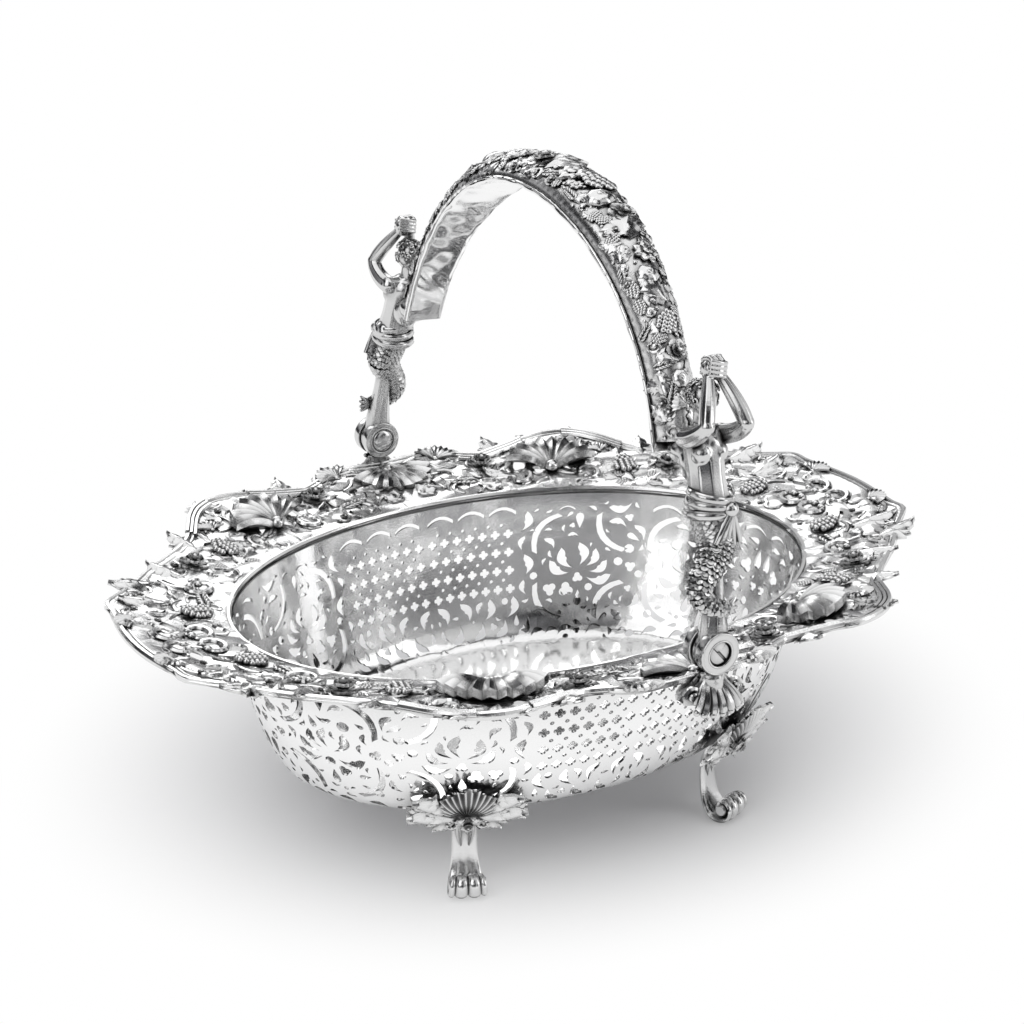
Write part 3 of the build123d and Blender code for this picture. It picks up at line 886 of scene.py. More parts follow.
def on_strap(along, across, lift):
    """A place on the dome: along in degrees round the arch, across from -1 to 1."""
    half, crown = strap_size(along)
    turn = np.pi / 2 - across * np.pi / 2 * 0.98
    a = np.radians(along)
    place = np.stack([np.cos(a) * ARCH_HALF, ARCH_MID + ARCH_RISE * np.sin(a)], -1)
    out = np.stack([np.cos(a) / ARCH_HALF, np.sin(a) / ARCH_RISE], -1)
    out /= np.linalg.norm(out, axis=-1, keepdims=True)
    x, r = half * np.cos(turn), crown * np.sin(turn)
    nx, nr = np.cos(turn) / half, np.sin(turn) / crown
    size = np.hypot(nx, nr)
    x, r = x + nx / size * lift, r + nr / size * lift
    return np.stack([x, place[..., 0] + out[..., 0] * r, place[..., 1] + out[..., 1] * r], -1)


def strap_relief(kind, along, across, spin=0, size=1.0, lift=-0.4, mirror=1):
    c, s = cos(radians(spin)), sin(radians(spin))

    def laid(co):
        x, y = co[:, 0] * size * c - co[:, 1] * size * s * mirror, co[:, 0] * size * s + co[:, 1] * size * c * mirror
        half, crown = strap_size(along)
        return rest_place(on_strap(along + x / 2.15, across + y / (0.72 * (half + crown)), co[:, 2] * size * 0.62 + lift))
    return copy_of(ORNAMENTS[kind], laid)


def strap_ground(u, v):
    along = ARCH_END + 1 + (178 - 2 * ARCH_END) * u
    wave = 0.25 * sin(along * 2.9) * sin(v * 19) - 0.9
    return rest_place(on_strap(np.array([along]), np.array([2 * v - 1]), np.array([wave])))[0]


ground = grid_piece("ground", 181, 25, strap_ground)
low_rows = corners(ground)
pieces = [ground]
crown_row = ["shell", "fruit", "rose", "grapes", "acanthus", "fruit", "daisy", "acanthus", "rose", "fruit", "grapes",
             "daisy", "acanthus", "rose", "acanthus", "daisy", "grapes", "fruit", "rose", "acanthus", "daisy",
             "fruit", "acanthus", "grapes", "rose", "fruit", "shell"]
for place, kind in enumerate(crown_row):
    along = ARCH_END + 7 + (180 - 2 * ARCH_END - 14) * place / (len(crown_row) - 1)
    big = 0.85 + 0.5 * sin(radians(along)) ** 3
    size = {"shell": 0.6, "fruit": 1.25, "rose": 1.25, "grapes": 0.95, "acanthus": 0.8, "daisy": 1.15}[kind]
    side = 0.16 * (-1) ** place * sin(radians(along)) ** 2
    pieces.append(strap_relief(kind, along, side, 180 * (along > 90) + 25 * (-1) ** place, size * big))
for place in range(84):
    along = ARCH_END + 3 + (180 - 2 * ARCH_END - 6) * place / 83
    for side in (-1, 1):
        kind = chance.choice(("leaf", "leaf", "acanthus", "daisy", "wheat", "grapes", "rose", "scroll", "fruit"))
        size = {"leaf": 0.6, "acanthus": 0.5, "daisy": 0.7, "wheat": 0.7, "grapes": 0.55, "rose": 0.75,
                "scroll": 0.5, "fruit": 0.7}[kind] * chance.uniform(0.85, 1.15)
        across = side * chance.uniform(0.26, 0.68)
        pieces.append(strap_relief(kind, along, across, chance.uniform(0, 360), size, -0.6))
    for side in (-1, 1):
        pieces.append(strap_relief("bead", along + 1.3, side * chance.uniform(0.1, 0.7), 0, chance.uniform(0.7, 1.3)))
strap = smooth(join(pieces, "chased_strap"), 50)
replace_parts(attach(strap, "handle"), "handle_strap")
print("strap:", len(strap.data.polygons), "faces")

# %% [markdown]
# The inside of the strap is closed by a plain burnished lining. Its slow waves are what break
# the reflections up into the streaks of the photo, so they are real waves in a fine grid. The
# pale edge on both sides is a wire where the two halves meet.

# %% The polished lining
def lining(u, v):
    along = ARCH_END - 1 + (182 - 2 * ARCH_END) * u
    half, _ = strap_size(along)
    a = radians(along)
    out = Vector((0, cos(a) / ARCH_HALF, sin(a) / ARCH_RISE)).normalized()
    calm = min(1, (along - ARCH_END + 1) / 14, (181 - ARCH_END - along) / 14)
    wave = calm * (0.34 * sin(along * 0.42) * cos(v * 5 + along * 0.05) + 0.16 * sin(along * 0.95 + v * 6))
    rim = (abs(2 * v - 1) > 0.9) * 0.35
    depth = -1.0 - wave - rim
    return rest_place([((2 * v - 1) * half, ARCH_HALF * cos(a) + out.y * depth,
                        ARCH_MID + ARCH_RISE * sin(a) + out.z * depth)])[0]


liner = grid_piece("lining", 181, 21, lining)
outwards(liner)
modify(liner, "SOLIDIFY", thickness=0.9 * MM, offset=0)
seams = []
for side in (-1, 1):
    route = []
    for along in np.arange(ARCH_END - 1, 181.1 - ARCH_END, 3):
        half, _ = strap_size(along)
        a = radians(along)
        route.append((*rest_place([(side * half, ARCH_HALF * cos(a), ARCH_MID + ARCH_RISE * sin(a))])[0], 0.75))
    seams.append(tube_piece("seam", route))
liner = smooth(join([liner] + seams, "polished_lining"), 60)
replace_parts(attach(liner, "handle"), "handle_liner")
print("lining:", len(liner.data.polygons), "faces")

# %% [markdown]
# The mermaids are small cast sculptures. Each begins as overlapping balls and tapered limbs,
# which a voxel remesh melts into one skin and a smoothing pass softens. Hair curls, the pleated
# sash and the scales are laid on afterwards, because a remesh would blur them; the fingers melt
# with the arms in a finer remesh. The faces are plain and calm: two brows, a nose and a mouth in
# classical proportion.

# %% Limbs and bodies
def limb(*route, sides=16):
    """A tapered limb with round ends through (x, y, z, radius)."""
    ends = [ball("end", p[3], 1.0, p[:3], 3) for p in (route[0], route[-1])]
    return join([tube_piece("limb", route, sides)] + ends, "limb")


def lump(x, y, z, rx, ry, rz):
    piece = ball("lump", 1.0, 1.0, (0, 0, 0), 3)
    return put_corners(piece, corners(piece) * (rx, ry, rz) + (x, y, z))


def melted(pieces, name, voxel=0.42, softness=6):
    body = join(pieces, name)
    modify(body, "REMESH", mode="VOXEL", voxel_size=voxel * MM)
    modify(body, "SMOOTH", factor=0.5, iterations=softness)
    return smooth(body, 180)


def torso_form():
    parts = [limb((0, 133.5, 54, 8.4), (0, 131, 62, 8.0), (0, 129, 68, 7.2), (0, 126.5, 74, 8.2), (0, 124.5, 80, 8.0)),
             limb((8.2, 124.5, 82.5, 4.0), (0, 123.5, 83, 4.5), (-8.2, 124.5, 82.5, 4.0)),
             limb((0, 122.5, 84, 3.6), (0, 121.5, 92, 3.2)),
             lump(0, 121.5, 97.6, 5.6, 6.2, 6.8), lump(0, 124.5, 95, 4.0, 4.0, 4.6),
             lump(3.9, 129.9, 77, 4.2, 4.0, 4.6), lump(-3.9, 129.9, 77, 4.2, 4.0, 4.6), lump(0, 127.5, 70, 7.6, 6.4, 7),
             lump(5.6, 132, 57.5, 4.6, 5.4, 5.5), lump(-5.6, 132, 57.5, 4.6, 5.4, 5.5),
             limb((0, 128.3, 98.6, 0.5), (0, 129.0, 96.4, 0.8)),
             limb((-2.7, 127.0, 98.9, 0.55), (-0.8, 127.8, 99.1, 0.55)), limb((2.7, 127.0, 98.9, 0.55), (0.8, 127.8, 99.1, 0.55)),
             limb((-1.1, 127.9, 94.3, 0.5), (1.1, 127.9, 94.3, 0.5))]
    return melted(parts, "torso", 0.42, 12)


def arm_form():
    arm = [limb((8.4, 124.5, 82.5, 4.3), (9.6, 130, 83.6, 4.2), (10.0, 136.6, 87.4, 3.7), (9.4, 138.8, 91.0, 3.2)),
           limb((9.4, 138.6, 91.0, 3.2), (8.0, 136.2, 96.5, 3.6), (5.0, 131.5, 103, 2.9), (2.8, 127.6, 107.6, 2.2))]
    other = [copy_of(piece, lambda co: co * (-1, 1, 1)) for piece in arm]
    hands = [lump(1.5, 126.4, 110, 3.6, 4.0, 4.4), lump(-1.5, 126.4, 110, 3.6, 4.0, 4.4)]
    for finger in range(4):
        rise = 107.6 + 1.75 * finger
        hands.append(limb((-3.6, 129.4, rise, 0.95), (0, 131.0, rise + 0.9, 0.95), (3.4, 129.6, rise + 1.4, 0.9)))
        hands.append(limb((-4.4, 124.0, rise + 1.4, 0.9), (-1.0, 122.6, rise + 1.2, 0.9), (3.2, 123.4, rise + 0.4, 0.85)))
    for place in (-2.8, 0, 2.8):
        hands.append(limb((place, 124.0, 114.0, 0.95), (place * 0.9, 126.6, 115.2, 1.0), (place * 0.8, 129.2, 113.6, 0.9)))
    return melted(arm + other + hands, "arms", 0.34, 3)


def hair_form():
    curls = []
    for _ in range(70):
        up, turn = chance.uniform(-0.5, 1.0), chance.uniform(0, 2 * pi)
        flat = (1 - up * up) ** 0.5
        spot = Vector((flat * cos(turn) * 6.2, flat * sin(turn) * 6.6, up * 7.2))
        if spot.y > 3.4 and spot.z < 4.0:
            continue
        middle = Vector((0, 121.5, 98.0)) + spot
        size = chance.uniform(1.2, 1.9)
        way = chance.uniform(0, 2 * pi)
        normal = spot.normalized()
        side = normal.orthogonal().normalized()
        other = normal.cross(side)
        route = []
        for step in range(9):
            angle, far = way + step * 0.95, size * (1 - step / 11)
            route.append((*(middle + (side * cos(angle) + other * sin(angle)) * far + normal * step * 0.06), 0.42))
        curls.append(tube_piece("curl", route, 4))
    return smooth(join(curls, "hair"), 60)


def sash_form():
    rolls = []
    for band in range(3):
        route = [((8.9 - 0.3 * band) * cos(t), 133.0 + (8.7 - 0.3 * band) * sin(t),
                  53.5 + 3.3 * band + 1.6 * sin(t + 0.7 * band), 1.75) for t in np.linspace(0, 2 * pi, 25)]
        rolls.append(tube_piece("roll", route, 8))
        rolls.append(tube_piece("cord", [(x * 1.1, 133 + (y - 133) * 1.1, z + 1.5, 0.5) for x, y, z, _ in route], 4))
    rolls.append(lump(-4, 142, 57, 3.4, 2.6, 3.2))
    for fold in range(5):
        spread_x = -9 + 2.9 * fold
        rolls.append(tube_piece("fold", [(-4, 142.3, 57, 1.3), (spread_x * 0.6 - 1, 143.6, 51, 1.5), (spread_x, 143.2, 44 - fold % 2, 1.2)], 8))
    return smooth(join(rolls, "sash"), 60)


def bracket_form():
    """The matted block between the strap's end and the torso."""
    parts = [lump(0, 114, 73, 6.5, 9, 6.0), lump(0, 121, 70, 6.5, 6, 8)]
    return melted(parts, "bracket", 0.7, 4)


figure_parts = [torso_form(), hair_form(), sash_form(), bracket_form()]
figure = join(figure_parts, "mermaid")
arms = arm_form()
print("mermaid:", len(figure.data.polygons), "arms:", len(arms.data.polygons), "faces")

# %% [markdown]
# The tail winds once round a matted stem. A tapered tube carries rows of U-shaped scales, each
# tilted so that it overlaps the one below, and it ends in a lobed fin. The stem widens into the
# forked barrel of the hinge, whose outer disc has a turned ring round the slotted screw head.

# %% Tail, stem and barrel
TAIL = [(0, 134, 54, 8.3), (-1.5, 135.5, 48, 8.2), (-2.5, 137, 43, 7.6), (0, 139.5, 38, 6.6), (3.5, 141.5, 34, 5.8),
        (7, 142.6, 29.5, 5.2), (8.4, 143.2, 25.5, 4.6), (6.8, 144.2, 21.5, 4.0), (2.6, 145.4, 18.6, 3.3),
        (-2, 145.8, 17.0, 2.7), (-5.5, 145.4, 17.2, 2.0)]


def along_route(route, count):
    """Evenly spaced (point, direction, radius) along a smoothed route."""
    stops = np.array(route, float)
    run = lengths(stops[:, :3])
    places = np.linspace(0, run[-1], count)
    fine = np.stack([np.interp(places, run, stops[:, k]) for k in range(4)], 1)
    for _ in range(3):
        fine[1:-1] = (fine[:-2] + 2 * fine[1:-1] + fine[2:]) / 4
    ways = np.gradient(fine[:, :3], axis=0)
    return fine, ways / np.linalg.norm(ways, axis=1, keepdims=True)


def scale_piece():
    def place(u, v):
        angle = (v - 0.5) * pi
        far = 1.0 * (0.15 + 0.85 * u)
        return far * cos(angle) * 1.15, far * sin(angle), 0.5 + 0.42 * u - 0.25 * u * u * abs(sin(angle))
    return skirted(grid_piece("scale", 3, 7, place), 0.6)


def tail_form():
    scale = outwards(scale_piece())
    fine, ways = along_route(TAIL, 60)
    core = tube_piece("core", [(*p[:3], p[3] * 0.93) for p in fine[::3]] + [(*fine[-1][:3], 1.6)], 16)
    pieces = [core]
    for row in range(1, 34):
        spot = row * 59 // 34
        centre, way, radius = Vector(fine[spot][:3]), Vector(ways[spot]), fine[spot][3]
        side = way.orthogonal().normalized()
        other = way.cross(side)
        count = max(7, int(round(2 * pi * radius / 2.7)))
        size = 2 * pi * radius / count * 0.62
        for step in range(count):
            angle = 2 * pi * (step + 0.5 * (row % 2)) / count
            out = side * cos(angle) + other * sin(angle)
            frame_of = Matrix((way, out.cross(way) * -1, out)).transposed()

            def laid(co, frame_of=frame_of, at=centre + out * (radius * 0.9 - 0.2), size=size):
                return (np.array(frame_of) @ (co * size).T).T + np.array(at)
            pieces.append(copy_of(scale, laid))
    drop(scale)
    for lobe, turn in enumerate((-50, -18, 14, 46)):
        a = radians(turn)
        pieces.append(tube_piece("fin", [(-4.4, 145.2, 17.2, 1.6), (-6.6 - 1.5 * cos(a), 144.9, 17.4 + 3.2 * sin(a), 1.5),
                                         (-8.6 - 1.8 * cos(a), 144.2, 18.0 + 5.0 * sin(a), 0.5)], 8))
    stem = limb((0, 144, 4, 6.6), (0, 143.6, 11, 6.0), (0, 142.3, 19, 4.4), (0, 140.5, 30, 3.9), (0, 137, 46, 3.9))
    return smooth(join([melted([stem], "stem", 0.6, 2)] + pieces, "tail"), 60)


def disc(radius, width, y, bevel=0.5, sides=48):
    """A turned disc across the hinge, with a softened edge."""
    bpy.ops.mesh.primitive_cylinder_add(vertices=sides, radius=radius * MM, depth=width * MM,
                                        location=(0, y * MM, 0), rotation=(pi / 2, 0, 0))
    piece = take_active("disc")
    modify(piece, "BEVEL", width=bevel * MM, segments=3, limit_method="ANGLE")
    return piece


def ring(radius, thick, y):
    bpy.ops.mesh.primitive_torus_add(major_radius=radius * MM, minor_radius=thick * MM, major_segments=48,
                                     minor_segments=10, location=(0, y * MM, 0), rotation=(pi / 2, 0, 0))
    return take_active("ring")


def barrel_form():
    """The fork: an outer disc with its flat ring, an inner disc with a low dome."""
    outer = disc(9.0, 5.0, 148.4)
    recess = disc(5.2, 4.4, 150.9, 0.1)
    only(outer)
    cut = outer.modifiers.new("recess", "BOOLEAN")
    cut.object, cut.operation, cut.solver = recess, "DIFFERENCE", "EXACT"
    bpy.ops.object.modifier_apply(modifier=cut.name)
    drop(recess)
    inner = disc(9.0, 4.6, 139.6)
    dome = lump(0, 137.4, 0, 5.6, 1.6, 5.6)
    return join([outer, inner, dome, ring(6.3, 0.5, 137.3), ring(5.6, 0.45, 150.7), ring(8.5, 0.4, 150.6)], "barrel")


def screw_form():
    head = disc(4.65, 1.4, 149.4, 0.35)
    slot = disc(1, 1, 0, 0.01, 4)
    put_corners(slot, corners(slot))
    drop(slot)
    bpy.ops.mesh.primitive_cube_add(size=1)
    bar = take_active("slot")
    turned = corners(bar) / 1000 * (1.35, 1.4, 12)
    c = cos(radians(45))
    put_corners(bar, np.stack([turned[:, 0] * c + turned[:, 2] * c, turned[:, 1] + 149.9, turned[:, 2] * c - turned[:, 0] * c], 1))
    only(head)
    cut = head.modifiers.new("slot", "BOOLEAN")
    cut.object, cut.operation, cut.solver = bar, "DIFFERENCE", "EXACT"
    bpy.ops.object.modifier_apply(modifier=cut.name)
    drop(bar)
    return join([head, disc(1.95, 11, 143.6, 0.2, 24)], "screw")


tail = join([tail_form(), barrel_form()], "tail")
screw = screw_form()
print("tail:", len(tail.data.polygons), "screw:", len(screw.data.polygons), "faces")

# %% Set both figures in the handle
for piece, node, slot in ((figure, "figure", "figure_silver"), (arms, "figure_arms", "figure_silver"),
                          (tail, "figure_tail", "figure_silver"), (screw, "hinge_screw", "figure_silver")):
    for end, sign in (("back", 1), ("front", -1)):
        twin = outwards(copy_of(piece, lambda co: rest_place(co * (sign, sign, 1))))
        twin.name = f"{piece.name}_{end}"
        smooth(twin, 60)
        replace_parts(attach(twin, "handle"), f"{node}_{end}")
drop(figure, arms, tail, screw)
print("figures set")

# %% [markdown]
# Each hinge stands on a pedestal of fluted lobes with a tongue that goes into the fork. Below
# it a fluted drop with two scrolls hangs outside the rim, and a fan shell lies on the border
# in front of it.

# %% Hinge lugs and shells
def oval_tower(sizes, flutes=0, depth=0.0, sides=40):
    """Stacked ovals (y, z, half x, half y), fluted round if asked."""
    points, faces = [], []
    for y, z, a, b in sizes:
        for step in range(sides):
            turn = 2 * pi * step / sides
            wave = 1 - depth * (0.5 + 0.5 * cos(flutes * turn)) if flutes else 1
            points.append((a * cos(turn) * wave, y + b * sin(turn) * wave, z))
    for row in range(len(sizes) - 1):
        for step in range(sides):
            nxt = (step + 1) % sides
            faces.append([row * sides + step, row * sides + nxt, (row + 1) * sides + nxt, (row + 1) * sides + step])
    faces.append(list(range(sides))[::-1])
    faces.append([(len(sizes) - 1) * sides + step for step in range(sides)])
    return outwards(mesh_piece("tower", points, faces))


def fluted_drop():
    """Tapering flutes that hang from the rim's edge and open like a small bell."""
    pieces = []
    for flute in range(7):
        turn = radians(-66 + 22 * flute)
        reach, fall = 4.0 + 5.0 * cos(turn), 13.0 - 2.6 * (1 - cos(turn))
        x = 9.5 * sin(turn)
        pieces.append(tube_piece("flute", [(x * 0.45, 145.5 + 1.2 * cos(turn), 119.5, 1.1),
                                           (x * 0.75, 146.0 + reach * 0.55, 115.5, 1.7), (x, 146 + reach * 0.85, 111.5, 2.0),
                                           (x * 1.2, 145.5 + reach * 0.9, 121.5 - fall, 1.6)], 10))
        pieces.append(ball("bead", 1.5, 1.0, (x * 1.22, 145.3 + reach * 0.9, 120.6 - fall), 2))
    pieces.append(limb((0, 145, 120, 5.2), (0, 147.5, 114.5, 4.4), (0, 148.5, 110, 2.4)))
    for side in (-1, 1):
        route = [(side * (9.8 + (3.6 - 0.28 * step) * cos(step * 0.85)), 146.0 + 0.2 * step,
                  115 + (3.6 - 0.28 * step) * sin(step * 0.85), 1.35 - 0.07 * step) for step in range(11)]
        pieces.append(tube_piece("scroll", route, 8))
    return pieces


pedestal = oval_tower([(142, 110.5, 13.5, 9.5), (142, 113, 13.9, 9.8), (142.4, 115.5, 11.5, 7.6), (143, 117.5, 8.4, 5.6),
                       (143.6, 119.5, 6.2, 4.8), (144, 121.5, 5.4, 4.6), (144, 123, 6.2, 4.9), (144, 123.6, 5.6, 4.4)], 10, 0.14)
plate = disc(8.2, 2.4, 144, 0.35)
put_corners(plate, corners(plate) + (0, 0, HINGE_Z))
stalk = oval_tower([(144, 121, 4.8, 1.2), (144, 127, 4.6, 1.2), (144, 132, 4.5, 1.2)])
cheeks = [limb((side * 3.2, 144, 122.6, 1.3), (side * 6.4, 144, 123.6, 1.0), sides=10) for side in (-1, 1)]
leaves = []
for turn in range(0, 360, 45):
    a = radians(turn)
    leaves.append(tube_piece("lobe", [(12.6 * cos(a), 142 + 8.8 * sin(a), 111, 1.8), (9.6 * cos(a), 142.3 + 6.6 * sin(a), 115.2, 1.7),
                                      (5.6 * cos(a), 143.6 + 4.4 * sin(a), 120.4, 0.8)], 8))
lug = join([pedestal, plate, stalk] + cheeks + leaves + fluted_drop(), "lug")
shell = join([relief("shell", 90, 36, 180, 1.75, -0.8, rise=0.62), relief("acanthus", 83, 24, 130, 0.7, -1.0, 1, 0.6),
              relief("acanthus", 97, 24, 130, 0.7, -1.0, -1, 0.6)] +
             [relief("shell", 90 + side * 9.5, 37, side * 28, 0.9, -0.4, rise=0.75) for side in (-1, 1)], "hinge_fan")
shell.name = "hinge_fan"
for piece, node in ((lug, "hinge_lug"), (shell, "hinge_shell")):
    for end, sign in (("back", 1), ("front", -1)):
        twin = smooth(outwards(copy_of(piece, lambda co: co * (sign, sign, 1))), 50)
        twin.name = f"{piece.name}_{end}"
        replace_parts(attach(twin, "basket"), f"{node}_{end}")
        "figure_silver" if node == "hinge_lug" else "cast_silver"
drop(lug, shell)
print("hinges done")

# %% [markdown]
# A foot is a strap that leaves the bowl behind a scallop, sweeps down and rolls up into a
# hollow toe of rounded flutes. The scallop's ribs are fine and its edge is toothed, and leaf
# sprays reach out to both sides. The four feet stand along the same outward direction as in
# the frame.

# %% Feet
FOOT_AT, FOOT_TURN = (65.0, 59.5), radians(66)
LEG = [(12.2, 49, 4.6, 1.1), (8.5, 42.5, 5.4, 1.2), (2.8, 37, 5.6, 1.5), (-2.2, 31, 5.6, 1.5), (-3.6, 25, 5.5, 1.5), (-3.0, 16, 5.8, 1.5), (-1.2, 8.5, 6.8, 1.5),
       (1.0, 4.2, 7.8, 1.4), (4.2, 1.9, 8.4, 1.4), (8.0, 1.6, 8.6, 1.3), (11.8, 2.8, 8.6, 1.2), (13.8, 6.0, 8.4, 1.1),
       (13.2, 9.6, 8.0, 1.0), (10.6, 11.6, 7.4, 0.9), (7.8, 10.8, 6.8, 0.8), (6.4, 8.6, 6.2, 0.7)]


def leg_form():
    """The strap: rows across its path, each waved by three rounded flutes near the toe."""
    stops = np.array(LEG)
    run = lengths(stops[:, :2])
    places = np.linspace(0, run[-1], 56)
    fine = np.stack([np.interp(places, run, stops[:, k]) for k in range(4)], 1)
    for _ in range(4):
        fine[1:-1] = (fine[:-2] + 2 * fine[1:-1] + fine[2:]) / 4
    ways = np.gradient(fine[:, :2], axis=0)
    ways /= np.linalg.norm(ways, axis=1, keepdims=True)
    out = np.stack([-ways[:, 1], ways[:, 0]], 1)

    def place(u, v):
        row = int(round(u * 55))
        x, z, half, thick = fine[row]
        toe = min(1, max(0, (row - 18) / 12))
        side = abs(v % 1 - 0.5) * 4 - 1
        front = 1 if v < 0.5 else -1
        across = side * half
        edge = (1 - abs(side) ** 4) ** 0.5
        wave = toe * 1.5 * (abs(sin(side * 1.5 * pi)) ** 0.6 - 0.6) + (1 - toe) * 0.5 * cos(side * 3 * pi)
        off = -front * (thick * edge + (wave * edge if front > 0 else 0))
        return x + out[row][0] * off, across, z + out[row][1] * off
    rows = grid_piece("leg", 56, 49, place)
    edit(rows, (bpy.ops.mesh.remove_doubles, {"threshold": 1e-6}))
    return outwards(rows)


def foot_relief(kind, up, side, spin, size, lift=0.0, mirror=1):
    """An ornament on the slanting face of the foot's head."""
    c, s = cos(radians(spin)), sin(radians(spin))
    slope = radians(62)

    def laid(co):
        x, y = co[:, 0] * size * c - co[:, 1] * size * s * mirror, co[:, 0] * size * s + co[:, 1] * size * c * mirror
        rise, far = x + up, y + side
        bend = far * far / 230 - 1.0
        z = co[:, 2] * size + lift - bend + 3.6
        return np.stack([6 + rise * cos(slope) + z * sin(slope), far, 41 + rise * sin(slope) - z * cos(slope)], 1)
    return copy_of(ORNAMENTS[kind], laid)


def foot_scallop():
    """Many fine ribs with a toothed edge, and a small crest of two peaks."""
    ribs, span, radius = 17, radians(146), 19.0

    def place(u, v):
        angle = (v - 0.5) * span
        phase = v * ribs * 2 * pi
        tooth = 1 + 0.05 * cos(phase) * u ** 3 + 0.06 * u ** 8 * (abs(v - 0.5) < 0.09) * (1.2 - cos(v * 22 * pi))
        far = radius * u * tooth * (1 - 0.1 * abs(sin(angle)))
        rise, side = far * cos(angle), far * sin(angle) * 1.04
        bend = side * side / 230 - 1.0
        z = 2.2 + 3.0 * sin(u * 2.2) + (0.2 + 0.5 * u) * cos(phase) - bend - 1.2 * u ** 6
        slope = radians(62)
        return 6 + rise * cos(slope) + z * sin(slope), side, 41 + rise * sin(slope) - z * cos(slope)
    shell = grid_piece("scallop", 13, ribs * 8 + 1, place)
    outwards(shell)
    modify(shell, "SOLIDIFY", thickness=1.1 * MM, offset=-1)
    return shell


toe_rolls = [tube_piece("roll", [(8.8, y - 2.6, 7.0, 2.3), (8.8, y - 1.2, 7.0, 3.8), (8.8, y + 1.2, 7.0, 3.8), (8.8, y + 2.6, 7.0, 2.3)], 14)
             for y in (-5.4, 0, 5.4)]
leg = join([leg_form()] + toe_rolls, "leg")
leg_leaf = [tube_piece("vein", [(1.2, side * 2.6, 34, 1.2), (-1.6, side * 3.4, 27, 1.5), (-2.4, side * 1.6, 19, 0.7)], 8) for side in (-1, 1)]
leg = join([leg] + leg_leaf, "leg")
head = [foot_scallop()]
for side in (-1, 1):
    head.append(foot_relief("acanthus", 1.0, side * 7, side * 84, 1.12, -0.6, side))
    head.append(foot_relief("acanthus", 5.0, side * 8, side * 62, 1.05, -1.2, side))
    head.append(foot_relief("leaf", -2.5, side * 5, side * 112, 0.9, -0.8, side))
    for k in range(6):
        head.append(foot_relief("leaf", 9 - 1.9 * k, side * (17 + 1.4 * (k % 3)), side * (58 + 11 * k), 0.5, 0.4, side))
        head.append(foot_relief("leaf", 6 - 1.4 * k, side * (11 + 1.8 * (k % 2)), side * (70 + 9 * k), 0.42, 1.0, side))
    head.append(foot_relief("scroll", -1.5, side * 6.0, side * 70, 0.55, 1.0, side))
head += [foot_relief("leaf", 0.5, 0, 180, 0.55, 2.2), foot_relief("rose", 1.0, 0, 0, 0.75, 3.0),
         foot_relief("leaf", 1, 2, 30, 0.45, 3.2), foot_relief("leaf", 1, -2, -30, 0.45, 3.2)]
head = join(head, "head")
for piece, node in ((leg, "foot_leg"), (head, "foot_shell")):
    for name, (sx, sy, _) in QUARTERS.items():
        def stand(co, sx=sx, sy=sy):
            x, y = co[:, 0], co[:, 1]
            c, s = cos(FOOT_TURN), sin(FOOT_TURN)
            return np.stack([sx * (FOOT_AT[0] + x * c - y * s), sy * (FOOT_AT[1] + x * s + y * c), co[:, 2] - 0.3], 1)
        foot = smooth(outwards(copy_of(piece, stand)), 50)
        foot.name = f"{piece.name}_{name}"
        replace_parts(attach(foot, "basket"), f"{node}_{name}")
drop(leg, head)
print("feet done")

# %% [markdown]
# The bowl keeps its bright wire inside the border, straight from the frame. The last shape is
# the floor, and the ornaments that everything was copied from are removed.

# %% Bowl and leftovers
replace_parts(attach(bowl, "basket"), "bowl")
drop(*ORNAMENTS.values())

# %% [markdown]
# Silver is a bright metal whose look is nearly all reflection. `Socket` lets shader maths be
# written as Python expressions. Three variants are made with one function: burnished sheet,
# cast and chased work, and the softer figures. In all of them the base colour is darkened where
# the ambient occlusion finds a crevice: painted shade, which stands in part for the tarnish that
# silver keeps where the polishing cloth never reaches.

# %% Shader maths
class Socket:
    """Wraps an output, so that expressions on values add their Math nodes."""

    def __init__(self, tree, out):
        self.tree, self.out = tree, out

    def node(self, kind, settings=None, output=0, **values):
        made = self.tree.nodes.new("ShaderNode" + kind)
        for key, value in (settings or {}).items():
            setattr(made, key, value)
        for key, value in values.items():
            name = int(key[1:]) if key[0] == "s" and key[1:].isdigit() else key.replace("_", " ")
            if isinstance(value, Socket):
                self.tree.links.new(value.out, made.inputs[name])
            else:
                made.inputs[name].default_value = value
        return Socket(self.tree, made.outputs[output])

    def math(self, operation, first, second=0.0, clamp=False):
        return self.node("Math", {"operation": operation, "use_clamp": clamp}, s0=first, s1=second)

    def __add__(self, other):
        return self.math("ADD", self, other)

    def __mul__(self, other):
        return self.math("MULTIPLY", self, other)

    def __sub__(self, other):
        return self.math("SUBTRACT", self, other)

    def __rsub__(self, other):
        return self.math("SUBTRACT", other, self)

    def __truediv__(self, other):
        return self.math("DIVIDE", self, other)

    __radd__, __rmul__ = __add__, __mul__

    def clamped(self):
        return self.math("ADD", self, 0.0, True)


def new_material(name):
    material = bpy.data.materials.new(name)
    material.use_nodes = True
    shader = material.node_tree.nodes["Principled BSDF"]
    place = material.node_tree.nodes.new("ShaderNodeTexCoord")
    return material, shader, Socket(material.node_tree, place.outputs["Object"])


def feed(socket, shader, name):
    socket.tree.links.new(socket.out, shader.inputs[name])


